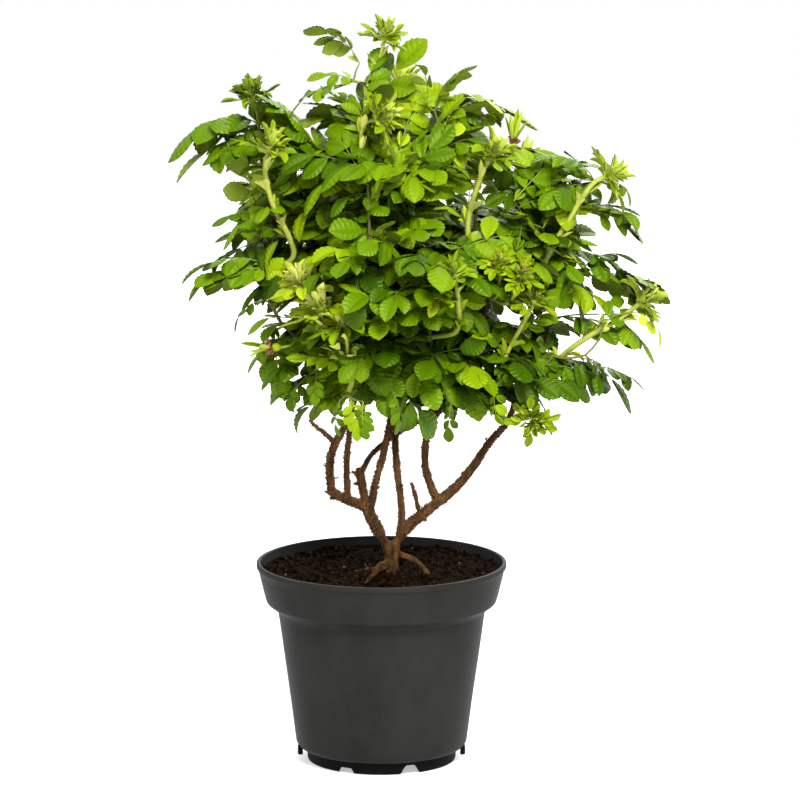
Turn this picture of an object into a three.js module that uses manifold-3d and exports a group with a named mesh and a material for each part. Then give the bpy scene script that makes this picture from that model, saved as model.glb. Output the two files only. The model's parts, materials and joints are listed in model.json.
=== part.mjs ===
// A rose bush growing in a round nursery pot. Millimetres, +Z up.
// The origin is the centre of the pot's underside, +X is the plant's right and -Y is its front.
// The pot, the potting mix, the stump, the exposed roots, the stems and the masses of leaves are
// separate closed solids. Neighbours that touch keep a small gap.
import * as THREE from 'three';
import { mergeVertices } from 'three/addons/utils/BufferGeometryUtils.js';
import Module from 'manifold-3d';

const wasm = await Module();
wasm.setup();

const GAP = 0.4; // clearance between neighbouring solids

// ---------------------------------------------------------------- driving dimensions: the pot
const POT_HEIGHT = 182;
const POT_SIDES = 28;
const WALL = 2.5;
const RIM_RADIUS = 113.2;
const RIM_DEPTH = 5; // height of the thicker lip round the top
const RIM_STEP = 1.3; // how far the lip stands out of the collar
const COLLAR_BOTTOM = { radius: 104.8, z: 147.4 };
const BODY_TOP = { radius: 93.8, z: 137.7 };
const BODY_BOTTOM = { radius: 77.8, z: 15.5 };
const SKIRT = { radius: 67.6, z: 10.8 };
const FLOOR_UNDERSIDE = SKIRT.z;
const FLOOR_TOP = FLOOR_UNDERSIDE + WALL;
const FOOT_BOSS_RADIUS = 20; // the standing boss under the middle of the floor
const NOTCH = { count: 7, width: 13, highest: 8, lowest: 4.5, firstAngle: 23 };
const TAB = { angle: 77, radius: 76.4, bottom: 6.5, top: 15.5, width: 5, depth: 4 };
const TAB_CLEARANCE = 10; // degrees, a notch that would be nearer to a tab is left out

// ------------------------------------------------------- driving dimensions: the potting mix
const SOIL_LEVEL = 174;
const SOIL_EDGE_SINK = 2;
const SOIL_RING_STEP = 24;
const SOIL_ROUGHNESS = 1.4;
const STUMP_FOOT = new THREE.Vector3(10, -31, SOIL_LEVEL);
const MOUND = { height: 4, spread: 26 }; // the mix heaped round the stump

// ------------------------------------------------------------ driving dimensions: the stems
const LIMB_SIDES = 7;
const LIMB_STEP = 11; // length from one ring to the next along a limb
const MASS_GAP = 0.9; // radial growth of a mass where it cuts a neighbour

const COLOURS = {
  pot: { color: 0x3c3c3a, roughness: 0.55 },
  soil: { color: 0x2a1c14, roughness: 0.95 },
  root: { color: 0x4a3320, roughness: 0.85 },
  bark: { color: 0x5a4327, roughness: 0.8 },
  greenWood: { color: 0x6d6a34, roughness: 0.75 },
  deadWood: { color: 0x8a7458, roughness: 0.85 },
  leaf: { color: 0x3f7a1c, roughness: 0.6 },
  youngLeaf: { color: 0xa8c63a, roughness: 0.6 },
};

// ------------------------------------------------------------------------ general functions
function seededRandom(seed) {
  let state = seed >>> 0;
  return () => {
    state = (state + 0x6d2b79f5) >>> 0;
    let t = state;
    t = Math.imul(t ^ (t >>> 15), t | 1);
    t ^= t + Math.imul(t ^ (t >>> 7), t | 61);
    return ((t ^ (t >>> 14)) >>> 0) / 4294967296;
  };
}

// A smooth pattern between -1 and 1 over space, from a few seeded waves.
function waveNoise(seed, frequency, waves = 6) {
  const random = seededRandom(seed);
  const list = Array.from({ length: waves }, () => {
    const direction = new THREE.Vector3(random() - 0.5, random() - 0.5, random() - 0.5).normalize();
    return {
      direction: direction.multiplyScalar(frequency * (0.6 + 0.8 * random())),
      phase: random() * Math.PI * 2,
    };
  });
  return (point) => {
    const sum = list.reduce((total, wave) => total + Math.sin(point.dot(wave.direction) + wave.phase), 0);
    return sum / Math.sqrt(waves);
  };
}

// A closed three.js geometry as a solid for cutting and joining.
function toSolid(geometry) {
  const bare = geometry.clone();
  bare.deleteAttribute('normal');
  bare.deleteAttribute('uv');
  const merged = mergeVertices(bare, 1e-4);
  const corners = merged.index.array;
  const kept = [];
  for (let i = 0; i < corners.length; i += 3) {
    const [a, b, c] = corners.slice(i, i + 3);
    if (a !== b && b !== c && c !== a) kept.push(a, b, c);
  }
  return new wasm.Manifold(new wasm.Mesh({
    numProp: 3,
    vertProperties: new Float32Array(merged.attributes.position.array),
    triVerts: new Uint32Array(kept),
  }));
}

function toGeometry(solid) {
  const mesh = solid.getMesh();
  const geometry = new THREE.BufferGeometry();
  geometry.setAttribute('position', new THREE.BufferAttribute(new Float32Array(mesh.vertProperties), 3));
  geometry.setIndex(new THREE.BufferAttribute(new Uint32Array(mesh.triVerts), 1));
  return geometry;
}

// Cutting can leave crumbs, so only the largest body stays.
function largestBody(solid) {
  return solid.decompose().reduce((best, body) => (body.volume() > best.volume() ? body : best));
}

function cutAway(solid, cutters) {
  return largestBody(cutters.reduce((left, cutter) => left.subtract(cutter), solid));
}

// A mesh whose own origin is at the anchor, so that its position places it.
function placedMesh(name, solid, anchor, look) {
  const geometry = toGeometry(solid);
  geometry.translate(-anchor.x, -anchor.y, -anchor.z);
  const mesh = new THREE.Mesh(geometry, new THREE.MeshStandardMaterial({ ...look, metalness: 0 }));
  mesh.name = name;
  mesh.position.copy(anchor);
  return mesh;
}

function polar(radius, degreesFromFront, z) {
  const angle = THREE.MathUtils.degToRad(degreesFromFront);
  return new THREE.Vector3(radius * Math.sin(angle), -radius * Math.cos(angle), z);
}

// A box that stands at a radius, square to the pot's wall.
function wallBox(radius, angle, bottom, top, width, depth) {
  const geometry = new THREE.BoxGeometry(width, depth, top - bottom);
  geometry.rotateZ(THREE.MathUtils.degToRad(angle));
  const middle = polar(radius, angle, (bottom + top) / 2);
  geometry.translate(middle.x, middle.y, middle.z);
  return toSolid(geometry);
}

function revolve(points) {
  const geometry = new THREE.LatheGeometry(points, POT_SIDES);
  geometry.rotateX(Math.PI / 2);
  return geometry;
}

// ------------------------------------------------------------------------------- the pot
const OUTER_COLLAR_TOP = { radius: RIM_RADIUS - RIM_STEP, z: POT_HEIGHT - RIM_DEPTH };

// Radius of the collar's outside at a height.
function collarRadius(z) {
  const along = (z - COLLAR_BOTTOM.z) / (OUTER_COLLAR_TOP.z - COLLAR_BOTTOM.z);
  return THREE.MathUtils.lerp(COLLAR_BOTTOM.radius, OUTER_COLLAR_TOP.radius, along);
}

// The pot's inner wall from the middle of the floor up to a height, moved inwards by an inset.
function innerWall(inset, top) {
  const path = new THREE.Path();
  const floor = FLOOR_TOP + inset;
  const thick = WALL + inset;
  path.moveTo(0, floor);
  path.lineTo(BODY_BOTTOM.radius - thick - 6, floor);
  path.quadraticCurveTo(
    BODY_BOTTOM.radius - thick - 1, floor,
    BODY_BOTTOM.radius - thick, BODY_BOTTOM.z + 5,
  );
  path.lineTo(BODY_TOP.radius - thick, BODY_TOP.z + inset);
  path.quadraticCurveTo(
    COLLAR_BOTTOM.radius - thick - 2.5, BODY_TOP.z + 4 + inset,
    COLLAR_BOTTOM.radius - thick, COLLAR_BOTTOM.z + 2,
  );
  path.lineTo(collarRadius(top) - thick, top);
  return path.getPoints(3);
}

function outerWall() {
  const path = new THREE.Path();
  path.moveTo(0, 0);
  path.lineTo(FOOT_BOSS_RADIUS, 0);
  path.lineTo(FOOT_BOSS_RADIUS, FLOOR_UNDERSIDE);
  path.lineTo(SKIRT.radius - WALL, FLOOR_UNDERSIDE);
  path.lineTo(SKIRT.radius - WALL, 0);
  path.lineTo(SKIRT.radius, 0);
  path.lineTo(SKIRT.radius, SKIRT.z);
  path.quadraticCurveTo(
    BODY_BOTTOM.radius - 1, SKIRT.z + 0.4,
    BODY_BOTTOM.radius, BODY_BOTTOM.z + 2,
  );
  path.lineTo(BODY_TOP.radius, BODY_TOP.z);
  path.quadraticCurveTo(
    COLLAR_BOTTOM.radius - 2.5, BODY_TOP.z + 1.5,
    COLLAR_BOTTOM.radius, COLLAR_BOTTOM.z,
  );
  path.lineTo(OUTER_COLLAR_TOP.radius, OUTER_COLLAR_TOP.z);
  path.lineTo(RIM_RADIUS, OUTER_COLLAR_TOP.z + 1);
  path.lineTo(RIM_RADIUS, POT_HEIGHT - 1);
  path.lineTo(RIM_RADIUS - 1, POT_HEIGHT);
  return path.getPoints(3);
}

function makePot() {
  const profile = [...outerWall(), ...innerWall(0, POT_HEIGHT).reverse()];
  const body = toSolid(revolve(profile));
  const notches = [];
  for (let i = 0; i < NOTCH.count; i += 1) {
    const angle = NOTCH.firstAngle + (i * 360) / NOTCH.count;
    const fromFront = Math.min(angle, 360 - angle);
    if (Math.abs(fromFront - TAB.angle) < TAB_CLEARANCE) continue;
    const height = i === NOTCH.count - 1 ? NOTCH.lowest : NOTCH.highest - GAP;
    notches.push(wallBox(SKIRT.radius - WALL / 2, angle, -1, height, NOTCH.width, WALL * 3));
  }
  const tabs = [-TAB.angle, TAB.angle].map(
    (angle) => wallBox(TAB.radius, angle, TAB.bottom, TAB.top, TAB.width, TAB.depth),
  );
  const notched = notches.reduce((left, notch) => left.subtract(notch), body);
  return tabs.reduce((left, tab) => left.add(tab), notched);
}

// ------------------------------------------------------------------------ the potting mix
// The mix fills the pot. Lift raises its top, which cuts the roots off just above it.
function makeSoil(lift) {
  const edge = SOIL_LEVEL - SOIL_EDGE_SINK;
  const wall = innerWall(GAP, edge);
  const edgeRadius = wall[wall.length - 1].x;
  const rings = [];
  for (let radius = edgeRadius - 8; radius > 4; radius -= SOIL_RING_STEP) {
    rings.push(new THREE.Vector2(radius, SOIL_LEVEL));
  }
  const geometry = revolve([...wall, ...rings, new THREE.Vector2(0, SOIL_LEVEL)]);
  const noise = waveNoise(7, 0.12);
  const position = geometry.attributes.position;
  const point = new THREE.Vector3();
  for (let i = 0; i < position.count; i += 1) {
    point.fromBufferAttribute(position, i);
    if (point.z < SOIL_LEVEL - 0.01) continue;
    const away = point.distanceTo(STUMP_FOOT) / MOUND.spread;
    const heap = MOUND.height * Math.exp(-away * away);
    position.setZ(i, SOIL_LEVEL + heap + SOIL_ROUGHNESS * noise(point) + lift);
  }
  return toSolid(geometry);
}

// ------------------------------------------------------------------------------ the stems
// Each limb runs through a few points, with its radius at each of them.
const LIMBS = [
  { name: 'root_crown', look: 'bark', under: [],
    points: [[10, -31, 168, 9], [9, -29, 184, 11], [9, -28, 197, 13], [8, -27, 208, 11], [7, -27, 214, 6]] },
  { name: 'exposed_root_front', look: 'root', under: ['root_crown'],
    points: [[11, -33, 190, 6], [12, -41, 180, 5], [11, -49, 168, 3]] },
  { name: 'exposed_root_left', look: 'root', under: ['root_crown'],
    points: [[6, -33, 191, 5], [-2, -43, 184, 4], [-10, -55, 180, 3.2], [-17, -67, 168, 2]] },
  { name: 'exposed_root_right', look: 'root', under: ['root_crown'],
    points: [[14, -27, 197, 4], [25, -26, 193, 2.6], [36, -31, 186, 2.1], [49, -38, 168, 1.6]] },
  { name: 'exposed_root_back', look: 'root', under: ['root_crown'],
    points: [[9, -26, 190, 5], [6, -14, 184, 4], [0, -2, 168, 3]] },
  { name: 'stem_left_lower', look: 'bark', under: ['root_crown'],
    points: [[7, -27, 200, 5.6], [-1, -26, 213, 5.4], [-9, -24, 227, 5.2], [-15, -22, 240, 4.8]] },
  { name: 'bough_left_side', look: 'bark', under: ['stem_left_lower'],
    points: [[-13, -23, 236, 4.2], [-24, -27, 242, 4], [-36, -34, 248, 3.8], [-46, -40, 255, 3.6]] },
  { name: 'bough_left_rise', look: 'bark', under: ['bough_left_side'],
    points: [[-44, -39, 253, 3.4], [-46, -42, 268, 3.2], [-45, -44, 290, 3.1], [-38, -44, 305, 2.9],
      [-28, -40, 322, 2.6], [-22, -36, 345, 2.4]] },
  { name: 'dead_twig_left', look: 'deadWood', under: ['bough_left_rise'],
    points: [[-42, -44, 300, 1.8], [-50, -47, 309, 1.5], [-58, -50, 315, 1.2], [-64, -52, 322, 0.9]] },
  { name: 'bristly_stem', look: 'greenWood', under: ['bough_left_side'],
    points: [[-30, -31, 247, 2.4], [-31, -28, 276, 2.3], [-29, -25, 303, 2.2], [-26, -20, 340, 2]] },
  { name: 'snag_left', look: 'greenWood', under: ['stem_left_lower', 'bough_left_side'],
    points: [[-13, -21, 238, 3.6], [-17, -16, 253, 3.5], [-20, -10, 270, 3.2]] },
  { name: 'crossing_branch', look: 'bark', under: ['snag_left'],
    points: [[-18, -11, 265, 1.9], [-11, -3, 279, 1.8], [1, 4, 289, 1.7], [13, 10, 297, 1.6],
      [25, 14, 304, 1.5], [44, 20, 312, 1.4], [60, 24, 336, 1.2]] },
  { name: 'stem_left_inner', look: 'bark', under: ['stem_left_lower', 'snag_left', 'crossing_branch'],
    points: [[-9, -24, 236, 3], [-6, -25, 258, 2.8], [0, -24, 278, 2.7], [4, -22, 296, 2.6],
      [8, -19, 314, 2.4], [10, -14, 345, 2.2]] },
  { name: 'stem_centre', look: 'greenWood', under: ['root_crown', 'stem_left_inner', 'crossing_branch'],
    points: [[14, -28, 206, 3], [18, -28, 220, 2.8], [18, -25, 240, 2.7], [15, -20, 262, 2.6],
      [13, -14, 283, 2.6], [12, -6, 310, 2.4], [11, 0, 345, 2.2]] },
  { name: 'stem_right_lower', look: 'bark', under: ['root_crown', 'stem_centre'],
    points: [[12, -28, 200, 5], [22, -24, 218, 4.8], [36, -17, 228, 4.6], [51, -10, 239, 4.3]] },
  { name: 'stem_right_upper', look: 'bark', under: ['stem_right_lower'],
    points: [[51, -10, 239, 4.2], [64, -4, 248, 3.9], [78, 2, 262, 3.5], [89, 7, 277, 3.1],
      [99, 10, 292, 2.8], [113, 8, 307, 2.4], [124, 0, 340, 2.1]] },
  { name: 'dead_twig_right', look: 'deadWood', under: ['stem_right_lower'],
    points: [[34, -19, 230, 1.5], [31, -23, 246, 1.3], [27, -27, 260, 1]] },
  { name: 'bough_right_upright', look: 'bark', under: ['stem_right_lower', 'stem_right_upper'],
    points: [[51, -9, 239, 3.4], [44, -5, 254, 3.2], [39, -2, 272, 3], [40, -1, 291, 2.9],
      [43, 0, 313, 2.7]] },
  { name: 'bough_right_inner', look: 'bark', under: ['bough_right_upright', 'crossing_branch'],
    points: [[43, 0, 311, 2.2], [46, -3, 328, 2], [49, -8, 358, 1.8]] },
  { name: 'bough_right_fork', look: 'bark', under: ['bough_right_upright', 'bough_right_inner', 'crossing_branch'],
    points: [[43, 0, 310, 2.2], [54, 6, 321, 2], [65, 8, 331, 1.9], [82, 2, 362, 1.7]] },
];

// A closed tapering tube through the limb's points, with the wanted extra radius.
function limbGeometry(points, extra) {
  const curve = new THREE.CatmullRomCurve3(points.map(([x, y, z]) => new THREE.Vector3(x, y, z)), false, 'centripetal');
  const steps = Math.max(3, Math.round(curve.getLength() / LIMB_STEP));
  const frames = curve.computeFrenetFrames(steps, false);
  const vertices = [];
  const triangles = [];
  for (let i = 0; i <= steps; i += 1) {
    const t = curve.getUtoTmapping(i / steps) * (points.length - 1);
    const low = Math.min(Math.floor(t), points.length - 2);
    const radius = THREE.MathUtils.lerp(points[low][3], points[low + 1][3], t - low) + extra;
    const centre = curve.getPointAt(i / steps);
    for (let side = 0; side < LIMB_SIDES; side += 1) {
      const angle = (side / LIMB_SIDES) * Math.PI * 2;
      const vertex = centre.clone()
        .addScaledVector(frames.normals[i], Math.cos(angle) * radius)
        .addScaledVector(frames.binormals[i], Math.sin(angle) * radius);
      vertices.push(vertex.x, vertex.y, vertex.z);
    }
  }
  for (let i = 0; i < steps; i += 1) {
    for (let side = 0; side < LIMB_SIDES; side += 1) {
      const next = (side + 1) % LIMB_SIDES;
      const [a, b] = [i * LIMB_SIDES + side, i * LIMB_SIDES + next];
      const [c, d] = [a + LIMB_SIDES, b + LIMB_SIDES];
      triangles.push(a, b, d, a, d, c);
    }
  }
  const last = steps * LIMB_SIDES;
  for (let side = 1; side < LIMB_SIDES - 1; side += 1) {
    triangles.push(0, side + 1, side);
    triangles.push(last, last + side, last + side + 1);
  }
  const geometry = new THREE.BufferGeometry();
  geometry.setAttribute('position', new THREE.Float32BufferAttribute(vertices, 3));
  geometry.setIndex(triangles);
  return geometry;
}

// ------------------------------------------------------------------- the masses of leaves
// Each mass is an uneven ball of a half size along X, Y and Z, drawn out to the tips of its longest
// sprays: the corner nearest to each tip is moved onto it.
const MASSES = [
  { name: 'foliage_core', at: [17, 15, 466], half: [84, 62, 70], detail: 1, sprays: [] },
  { name: 'foliage_centre_top', at: [-5, -25, 543], half: [68, 66, 50], sprays: [] },
  { name: 'foliage_centre_front', at: [8, -86, 462], half: [82, 58, 68], sprays: [[-20, -160, 430], [60, -152, 480]] },
  { name: 'foliage_centre_low', at: [6, -46, 374], half: [74, 66, 42],
    sprays: [[-34, -62, 320], [59, -50, 310], [38, -76, 326]] },
  { name: 'foliage_left_middle', at: [-112, -15, 453], half: [40, 52, 34],
    sprays: [[-182, -15, 447], [-165, -10, 469], [-137, -30, 404]] },
  { name: 'foliage_left_upper', at: [-104, -6, 517], half: [40, 50, 32],
    sprays: [[-136, -5, 550], [-158, -12, 501], [-150, -20, 483]] },
  { name: 'foliage_left_low', at: [-77, -32, 383], half: [46, 60, 40],
    sprays: [[-91, -42, 325], [-124, -45, 377], [-50, -62, 340]] },
  { name: 'foliage_upper_left', at: [-104, 10, 580], half: [30, 38, 34],
    sprays: [[-121, 10, 625], [-134, 10, 606]] },
  { name: 'foliage_left_tip', at: [-158, 15, 563], half: [22, 22, 11], detail: 1,
    sprays: [[-193, 15, 544], [-189, 15, 572], [-146, 14, 583], [-124, 12, 562]] },
  { name: 'foliage_top_left', at: [-40, -2, 601], half: [30, 34, 22], sprays: [[-63, -12, 627], [-80, -4, 597]] },
  { name: 'foliage_top', at: [3, -10, 618], half: [24, 30, 32], look: 'youngLeaf',
    sprays: [[4, -10, 674], [-70, -4, 656], [26, -16, 663]] },
  { name: 'foliage_upper_right', at: [72, -14, 584], half: [44, 50, 38],
    sprays: [[42, -8, 640], [78, -16, 627], [121, -22, 604], [118, -24, 556]] },
  { name: 'foliage_right_upper', at: [156, -18, 530], half: [48, 54, 34],
    sprays: [[142, -20, 593], [206, -20, 556], [230, -16, 516]] },
  { name: 'foliage_right_middle', at: [144, -32, 468], half: [52, 64, 40], sprays: [] },
  { name: 'foliage_right_shoulder', at: [203, -22, 497], half: [24, 24, 14], detail: 1, sprays: [[238, -18, 487]] },
  { name: 'foliage_right_tip', at: [216, -20, 454], half: [22, 22, 15], detail: 1,
    sprays: [[262, -26, 437], [226, -10, 475], [247, -28, 417], [184, -24, 440]] },
  { name: 'foliage_right_outer', at: [196, -30, 418], half: [28, 32, 20], detail: 1,
    sprays: [[251, -32, 378], [158, -28, 428]] },
  { name: 'foliage_right_low', at: [118, -32, 377], half: [52, 60, 42],
    sprays: [[161, -42, 314], [134, -52, 311], [80, -38, 326]] },
  { name: 'foliage_right_tail', at: [185, -26, 360], half: [30, 28, 12], detail: 1, sprays: [[239, -24, 341]] },
  { name: 'foliage_back_left', at: [-82, 92, 462], half: [70, 58, 72], sprays: [[-136, 130, 500], [-80, 160, 440]] },
  { name: 'foliage_back_right', at: [104, 98, 464], half: [74, 60, 70], sprays: [[170, 130, 478], [90, 172, 450]] },
  { name: 'foliage_back_top', at: [12, 72, 556], half: [70, 52, 48], sprays: [[10, 100, 612], [50, 124, 566]] },
  { name: 'foliage_back_low', at: [10, 88, 378], half: [84, 58, 42], sprays: [[-50, 124, 340], [70, 142, 350]] },
];
const MASS_DETAIL = 2;
const MASS_ROUGHNESS = 0.11;
const SPRAY_WIDTH = 0.33; // radians from a spray's middle line to where it has mostly faded

function massGeometry(mass, index, extra) {
  const centre = new THREE.Vector3(...mass.at);
  const half = new THREE.Vector3(...mass.half);
  const noise = waveNoise(40 + index, 4);
  const geometry = new THREE.IcosahedronGeometry(1, mass.detail ?? MASS_DETAIL);
  const position = geometry.attributes.position;
  const directions = Array.from({ length: position.count },
    (_, i) => new THREE.Vector3().fromBufferAttribute(position, i).normalize());
  const sprays = mass.sprays.map((tip) => {
    const reach = new THREE.Vector3(...tip).sub(centre);
    const along = reach.clone().normalize();
    const nearest = directions.reduce((best, one) => (one.dot(along) > best.dot(along) ? one : best));
    return { along, nearest, length: reach.length() };
  });
  directions.forEach((direction, i) => {
    const uneven = 1 + MASS_ROUGHNESS * noise(direction);
    let radius = uneven / direction.clone().divide(half).length();
    let outwards = direction;
    for (const spray of sprays) {
      const angle = direction.angleTo(spray.along) / SPRAY_WIDTH;
      radius = Math.max(radius, THREE.MathUtils.lerp(radius, spray.length, Math.exp(-angle * angle)));
      if (direction.distanceTo(spray.nearest) < 1e-4) {
        radius = spray.length;
        outwards = spray.along;
      }
    }
    const vertex = outwards.clone().multiplyScalar(radius + extra).add(centre);
    position.setXYZ(i, vertex.x, vertex.y, vertex.z);
  });
  return geometry;
}

// ---------------------------------------------------------------------------- the assembly
const massCutters = MASSES.map((mass, i) => toSolid(massGeometry(mass, i, MASS_GAP)));
const limbCutters = new Map(LIMBS.map((limb) => [limb.name, toSolid(limbGeometry(limb.points, GAP))]));

const potAndSoil = new THREE.Group();
potAndSoil.add(placedMesh('nursery_pot', makePot(), new THREE.Vector3(), COLOURS.pot));
potAndSoil.add(placedMesh('potting_mix', makeSoil(0), new THREE.Vector3(0, 0, SOIL_LEVEL), COLOURS.soil));

const stems = new THREE.Group();
const soilCutter = makeSoil(GAP);
for (const limb of LIMBS) {
  const cutters = [soilCutter, ...limb.under.map((name) => limbCutters.get(name)), ...massCutters];
  const solid = cutAway(toSolid(limbGeometry(limb.points, 0)), cutters);
  const foot = new THREE.Vector3(...limb.points[0].slice(0, 3));
  stems.add(placedMesh(limb.name, solid, foot, COLOURS[limb.look]));
}

const crown = new THREE.Group();
MASSES.forEach((mass, i) => {
  const solid = cutAway(toSolid(massGeometry(mass, i, 0)), massCutters.slice(0, i));
  crown.add(placedMesh(mass.name, solid, new THREE.Vector3(...mass.at), COLOURS[mass.look ?? 'leaf']));
});

const roseBush = new THREE.Group();
roseBush.add(potAndSoil, stems, crown);

export default roseBush;
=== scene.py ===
import json
import math
from itertools import combinations

import bpy
import bmesh
import numpy as np
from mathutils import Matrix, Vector
from mathutils.bvhtree import BVHTree

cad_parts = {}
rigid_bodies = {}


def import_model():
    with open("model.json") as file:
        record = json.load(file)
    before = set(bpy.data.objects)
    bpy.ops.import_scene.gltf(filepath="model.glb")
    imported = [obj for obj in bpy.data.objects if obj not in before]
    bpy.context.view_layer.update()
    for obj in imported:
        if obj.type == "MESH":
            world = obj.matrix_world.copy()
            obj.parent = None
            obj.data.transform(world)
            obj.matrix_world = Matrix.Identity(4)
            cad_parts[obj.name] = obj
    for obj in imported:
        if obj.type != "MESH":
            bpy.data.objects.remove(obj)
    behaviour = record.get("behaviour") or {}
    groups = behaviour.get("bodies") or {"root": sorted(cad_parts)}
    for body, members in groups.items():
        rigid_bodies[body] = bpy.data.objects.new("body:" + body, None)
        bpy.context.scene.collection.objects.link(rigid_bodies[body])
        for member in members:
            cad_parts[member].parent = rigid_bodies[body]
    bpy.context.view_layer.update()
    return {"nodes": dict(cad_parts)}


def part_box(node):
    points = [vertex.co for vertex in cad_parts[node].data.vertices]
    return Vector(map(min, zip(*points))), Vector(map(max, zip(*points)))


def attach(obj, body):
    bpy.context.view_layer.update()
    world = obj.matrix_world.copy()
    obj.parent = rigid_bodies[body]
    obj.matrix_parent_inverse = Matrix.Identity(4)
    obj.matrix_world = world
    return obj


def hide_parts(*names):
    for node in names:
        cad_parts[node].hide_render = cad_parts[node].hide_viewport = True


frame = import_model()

NODES = frame["nodes"]
MM = 0.001
UP = np.array([0.0, 0.0, 1.0])
MOST_TRIANGLES = 185000  # in one piece

# The camera, which looks down a little at the plant. The gaps in the crown are tested along its
# lines of sight.
CAMERA_PLACE = np.array([0.01676, -4.6916, 1.19636])
CAMERA_LENS = 238.41
CAMERA_PITCH = 10.457  # degrees below level

MASSES = sorted(n for n in NODES if n.startswith("foliage_"))
LIMBS = sorted(n for n in NODES if n not in MASSES and n not in ("nursery_pot", "potting_mix"))


# ------------------------------------------------------------------------ general functions
def unit(vector):
    """The vector with a length of 1."""
    return vector / max(np.linalg.norm(vector), 1e-9)


def smooth_step(value):
    """A smooth rise from 0 to 1."""
    value = np.clip(value, 0, 1)
    return value * value * (3 - 2 * value)


def value_noise(points, seed):
    """Smooth noise between -1 and 1 at each point, from random values on a unit lattice."""
    cell = np.floor(points).astype(np.int64)
    part = smooth_step(points - cell)
    total = np.zeros(len(points))
    for corner in np.ndindex(2, 2, 2):
        at = cell + np.array(corner)
        key = at[:, 0] * 73856093 ^ at[:, 1] * 19349663 ^ at[:, 2] * 83492791 ^ seed * 7919
        key = (key ^ (key >> 13)) * 1274126177
        value = ((key >> 7) & 0xFFFF) / 32767.5 - 1
        total += value * np.prod(np.where(np.array(corner, bool), part, 1 - part), axis=1)
    return total


def linear(red, green, blue):
    """A colour given as display values from 0 to 255, as the renderer counts it."""
    values = np.array([red, green, blue]) / 255
    return np.where(values <= 0.04045, values / 12.92, ((values + 0.055) / 1.055) ** 2.4)


class Batch:
    """Points and faces gathered for one kind of piece. A face's tint picks its material."""

    def __init__(self):
        self.parts = []

    def add(self, points, faces, tint):
        """Takes in points, and faces of one number of corners, with one tint or one for each face."""
        self.parts.append((np.asarray(points, float), np.asarray(faces, int), tint))

    def groups(self):
        """The gathered parts, shared out so that no piece has too many triangles."""
        groups, used = [[]], 0
        for part in self.parts:
            cost = len(part[1]) * (part[1].shape[1] - 2)
            if used + cost > MOST_TRIANGLES:
                groups.append([])
                used = 0
            groups[-1].append(part)
            used += cost
        return groups

    def build(self, name, materials, slot, replaced=(), creased=0):
        """Makes the gathered parts into as many pieces as their size needs.
        Faces with a tint under creased show their creases, and the rest are smooth."""
        made = []
        for number, group in enumerate(self.groups(), 1):
            counts = [len(points) for points, _, _ in group]
            starts = np.concatenate([[0], np.cumsum(counts)[:-1]])
            corners = [(faces + start).ravel() for (_, faces, _), start in zip(group, starts)]
            sizes = np.concatenate([np.full(len(faces), faces.shape[1]) for _, faces, _ in group])
            tints = [np.broadcast_to(tint, len(faces)) for _, faces, tint in group]
            mesh = bpy.data.meshes.new(f"{name}_{number}")
            mesh.vertices.add(sum(counts))
            points = np.concatenate([points for points, _, _ in group])
            mesh.vertices.foreach_set("co", points.astype(np.float32).ravel())
            mesh.loops.add(int(sizes.sum()))
            mesh.loops.foreach_set("vertex_index", np.concatenate(corners).astype(np.int32))
            mesh.polygons.add(len(sizes))
            first = np.concatenate([[0], np.cumsum(sizes)[:-1]])
            mesh.polygons.foreach_set("loop_start", first.astype(np.int32))
            mesh.polygons.foreach_set("material_index", np.concatenate(tints).astype(np.int32))
            mesh.update(calc_edges=True)
            mesh.validate()
            smooth = np.concatenate(tints) >= creased
            mesh.polygons.foreach_set("use_smooth", smooth)
            for material in materials:
                mesh.materials.append(material)
            made.append(show(mesh))
        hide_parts(*replaced)
        return made


def show(mesh):
    """Puts a mesh in the scene as a piece that rides on the part."""
    piece = bpy.data.objects.new(mesh.name, mesh)
    bpy.context.scene.collection.objects.link(piece)
    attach(piece, "root")
    return piece


def grid_faces(rows, columns, closed=False):
    """Quads of a grid of points stored row by row. A closed grid joins its last column to its first."""
    spans = columns if closed else columns - 1
    row, column = np.meshgrid(np.arange(rows - 1), np.arange(spans), indexing="ij")
    beside = (column + 1) % columns
    quads = [row * columns + column, row * columns + beside,
             (row + 1) * columns + beside, (row + 1) * columns + column]
    return np.stack([q.ravel() for q in quads], axis=1)


def lathe(profile, segments):
    """Points and faces of a closed or open outline of (radius, height) turned round the Z axis."""
    profile = np.asarray(profile, float)
    angle = np.linspace(0, 2 * math.pi, segments, endpoint=False)
    x = profile[:, :1] * np.cos(angle)
    y = profile[:, :1] * np.sin(angle)
    z = np.repeat(profile[:, 1:], segments, axis=1)
    return np.stack([x, y, z], axis=2).reshape(-1, 3), grid_faces(len(profile), segments, True)


def arc(centre, radius, first, last, steps):
    """Outline points on a circle, between two angles in degrees."""
    angles = np.radians(np.linspace(first, last, steps))
    return [(centre[0] + radius * math.cos(a), centre[1] + radius * math.sin(a)) for a in angles]


def tube(points, radii, sides):
    """Points and faces of a round tube along a line. Its ends taper to a point where the radius does."""
    points = np.asarray(points, float)
    along = np.gradient(points, axis=0)
    along /= np.linalg.norm(along, axis=1, keepdims=True) + 1e-12
    side = unit(np.cross(along[0], [0.31, 0.72, 0.62]))
    rings = []
    angle = np.linspace(0, 2 * math.pi, sides, endpoint=False)[:, None]
    for point, direction, radius in zip(points, along, radii):
        side = unit(side - direction * np.dot(side, direction))
        other = np.cross(direction, side)
        rings.append(point + radius * (np.cos(angle) * side + np.sin(angle) * other))
    return np.concatenate(rings), grid_faces(len(points), sides, True)


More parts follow.
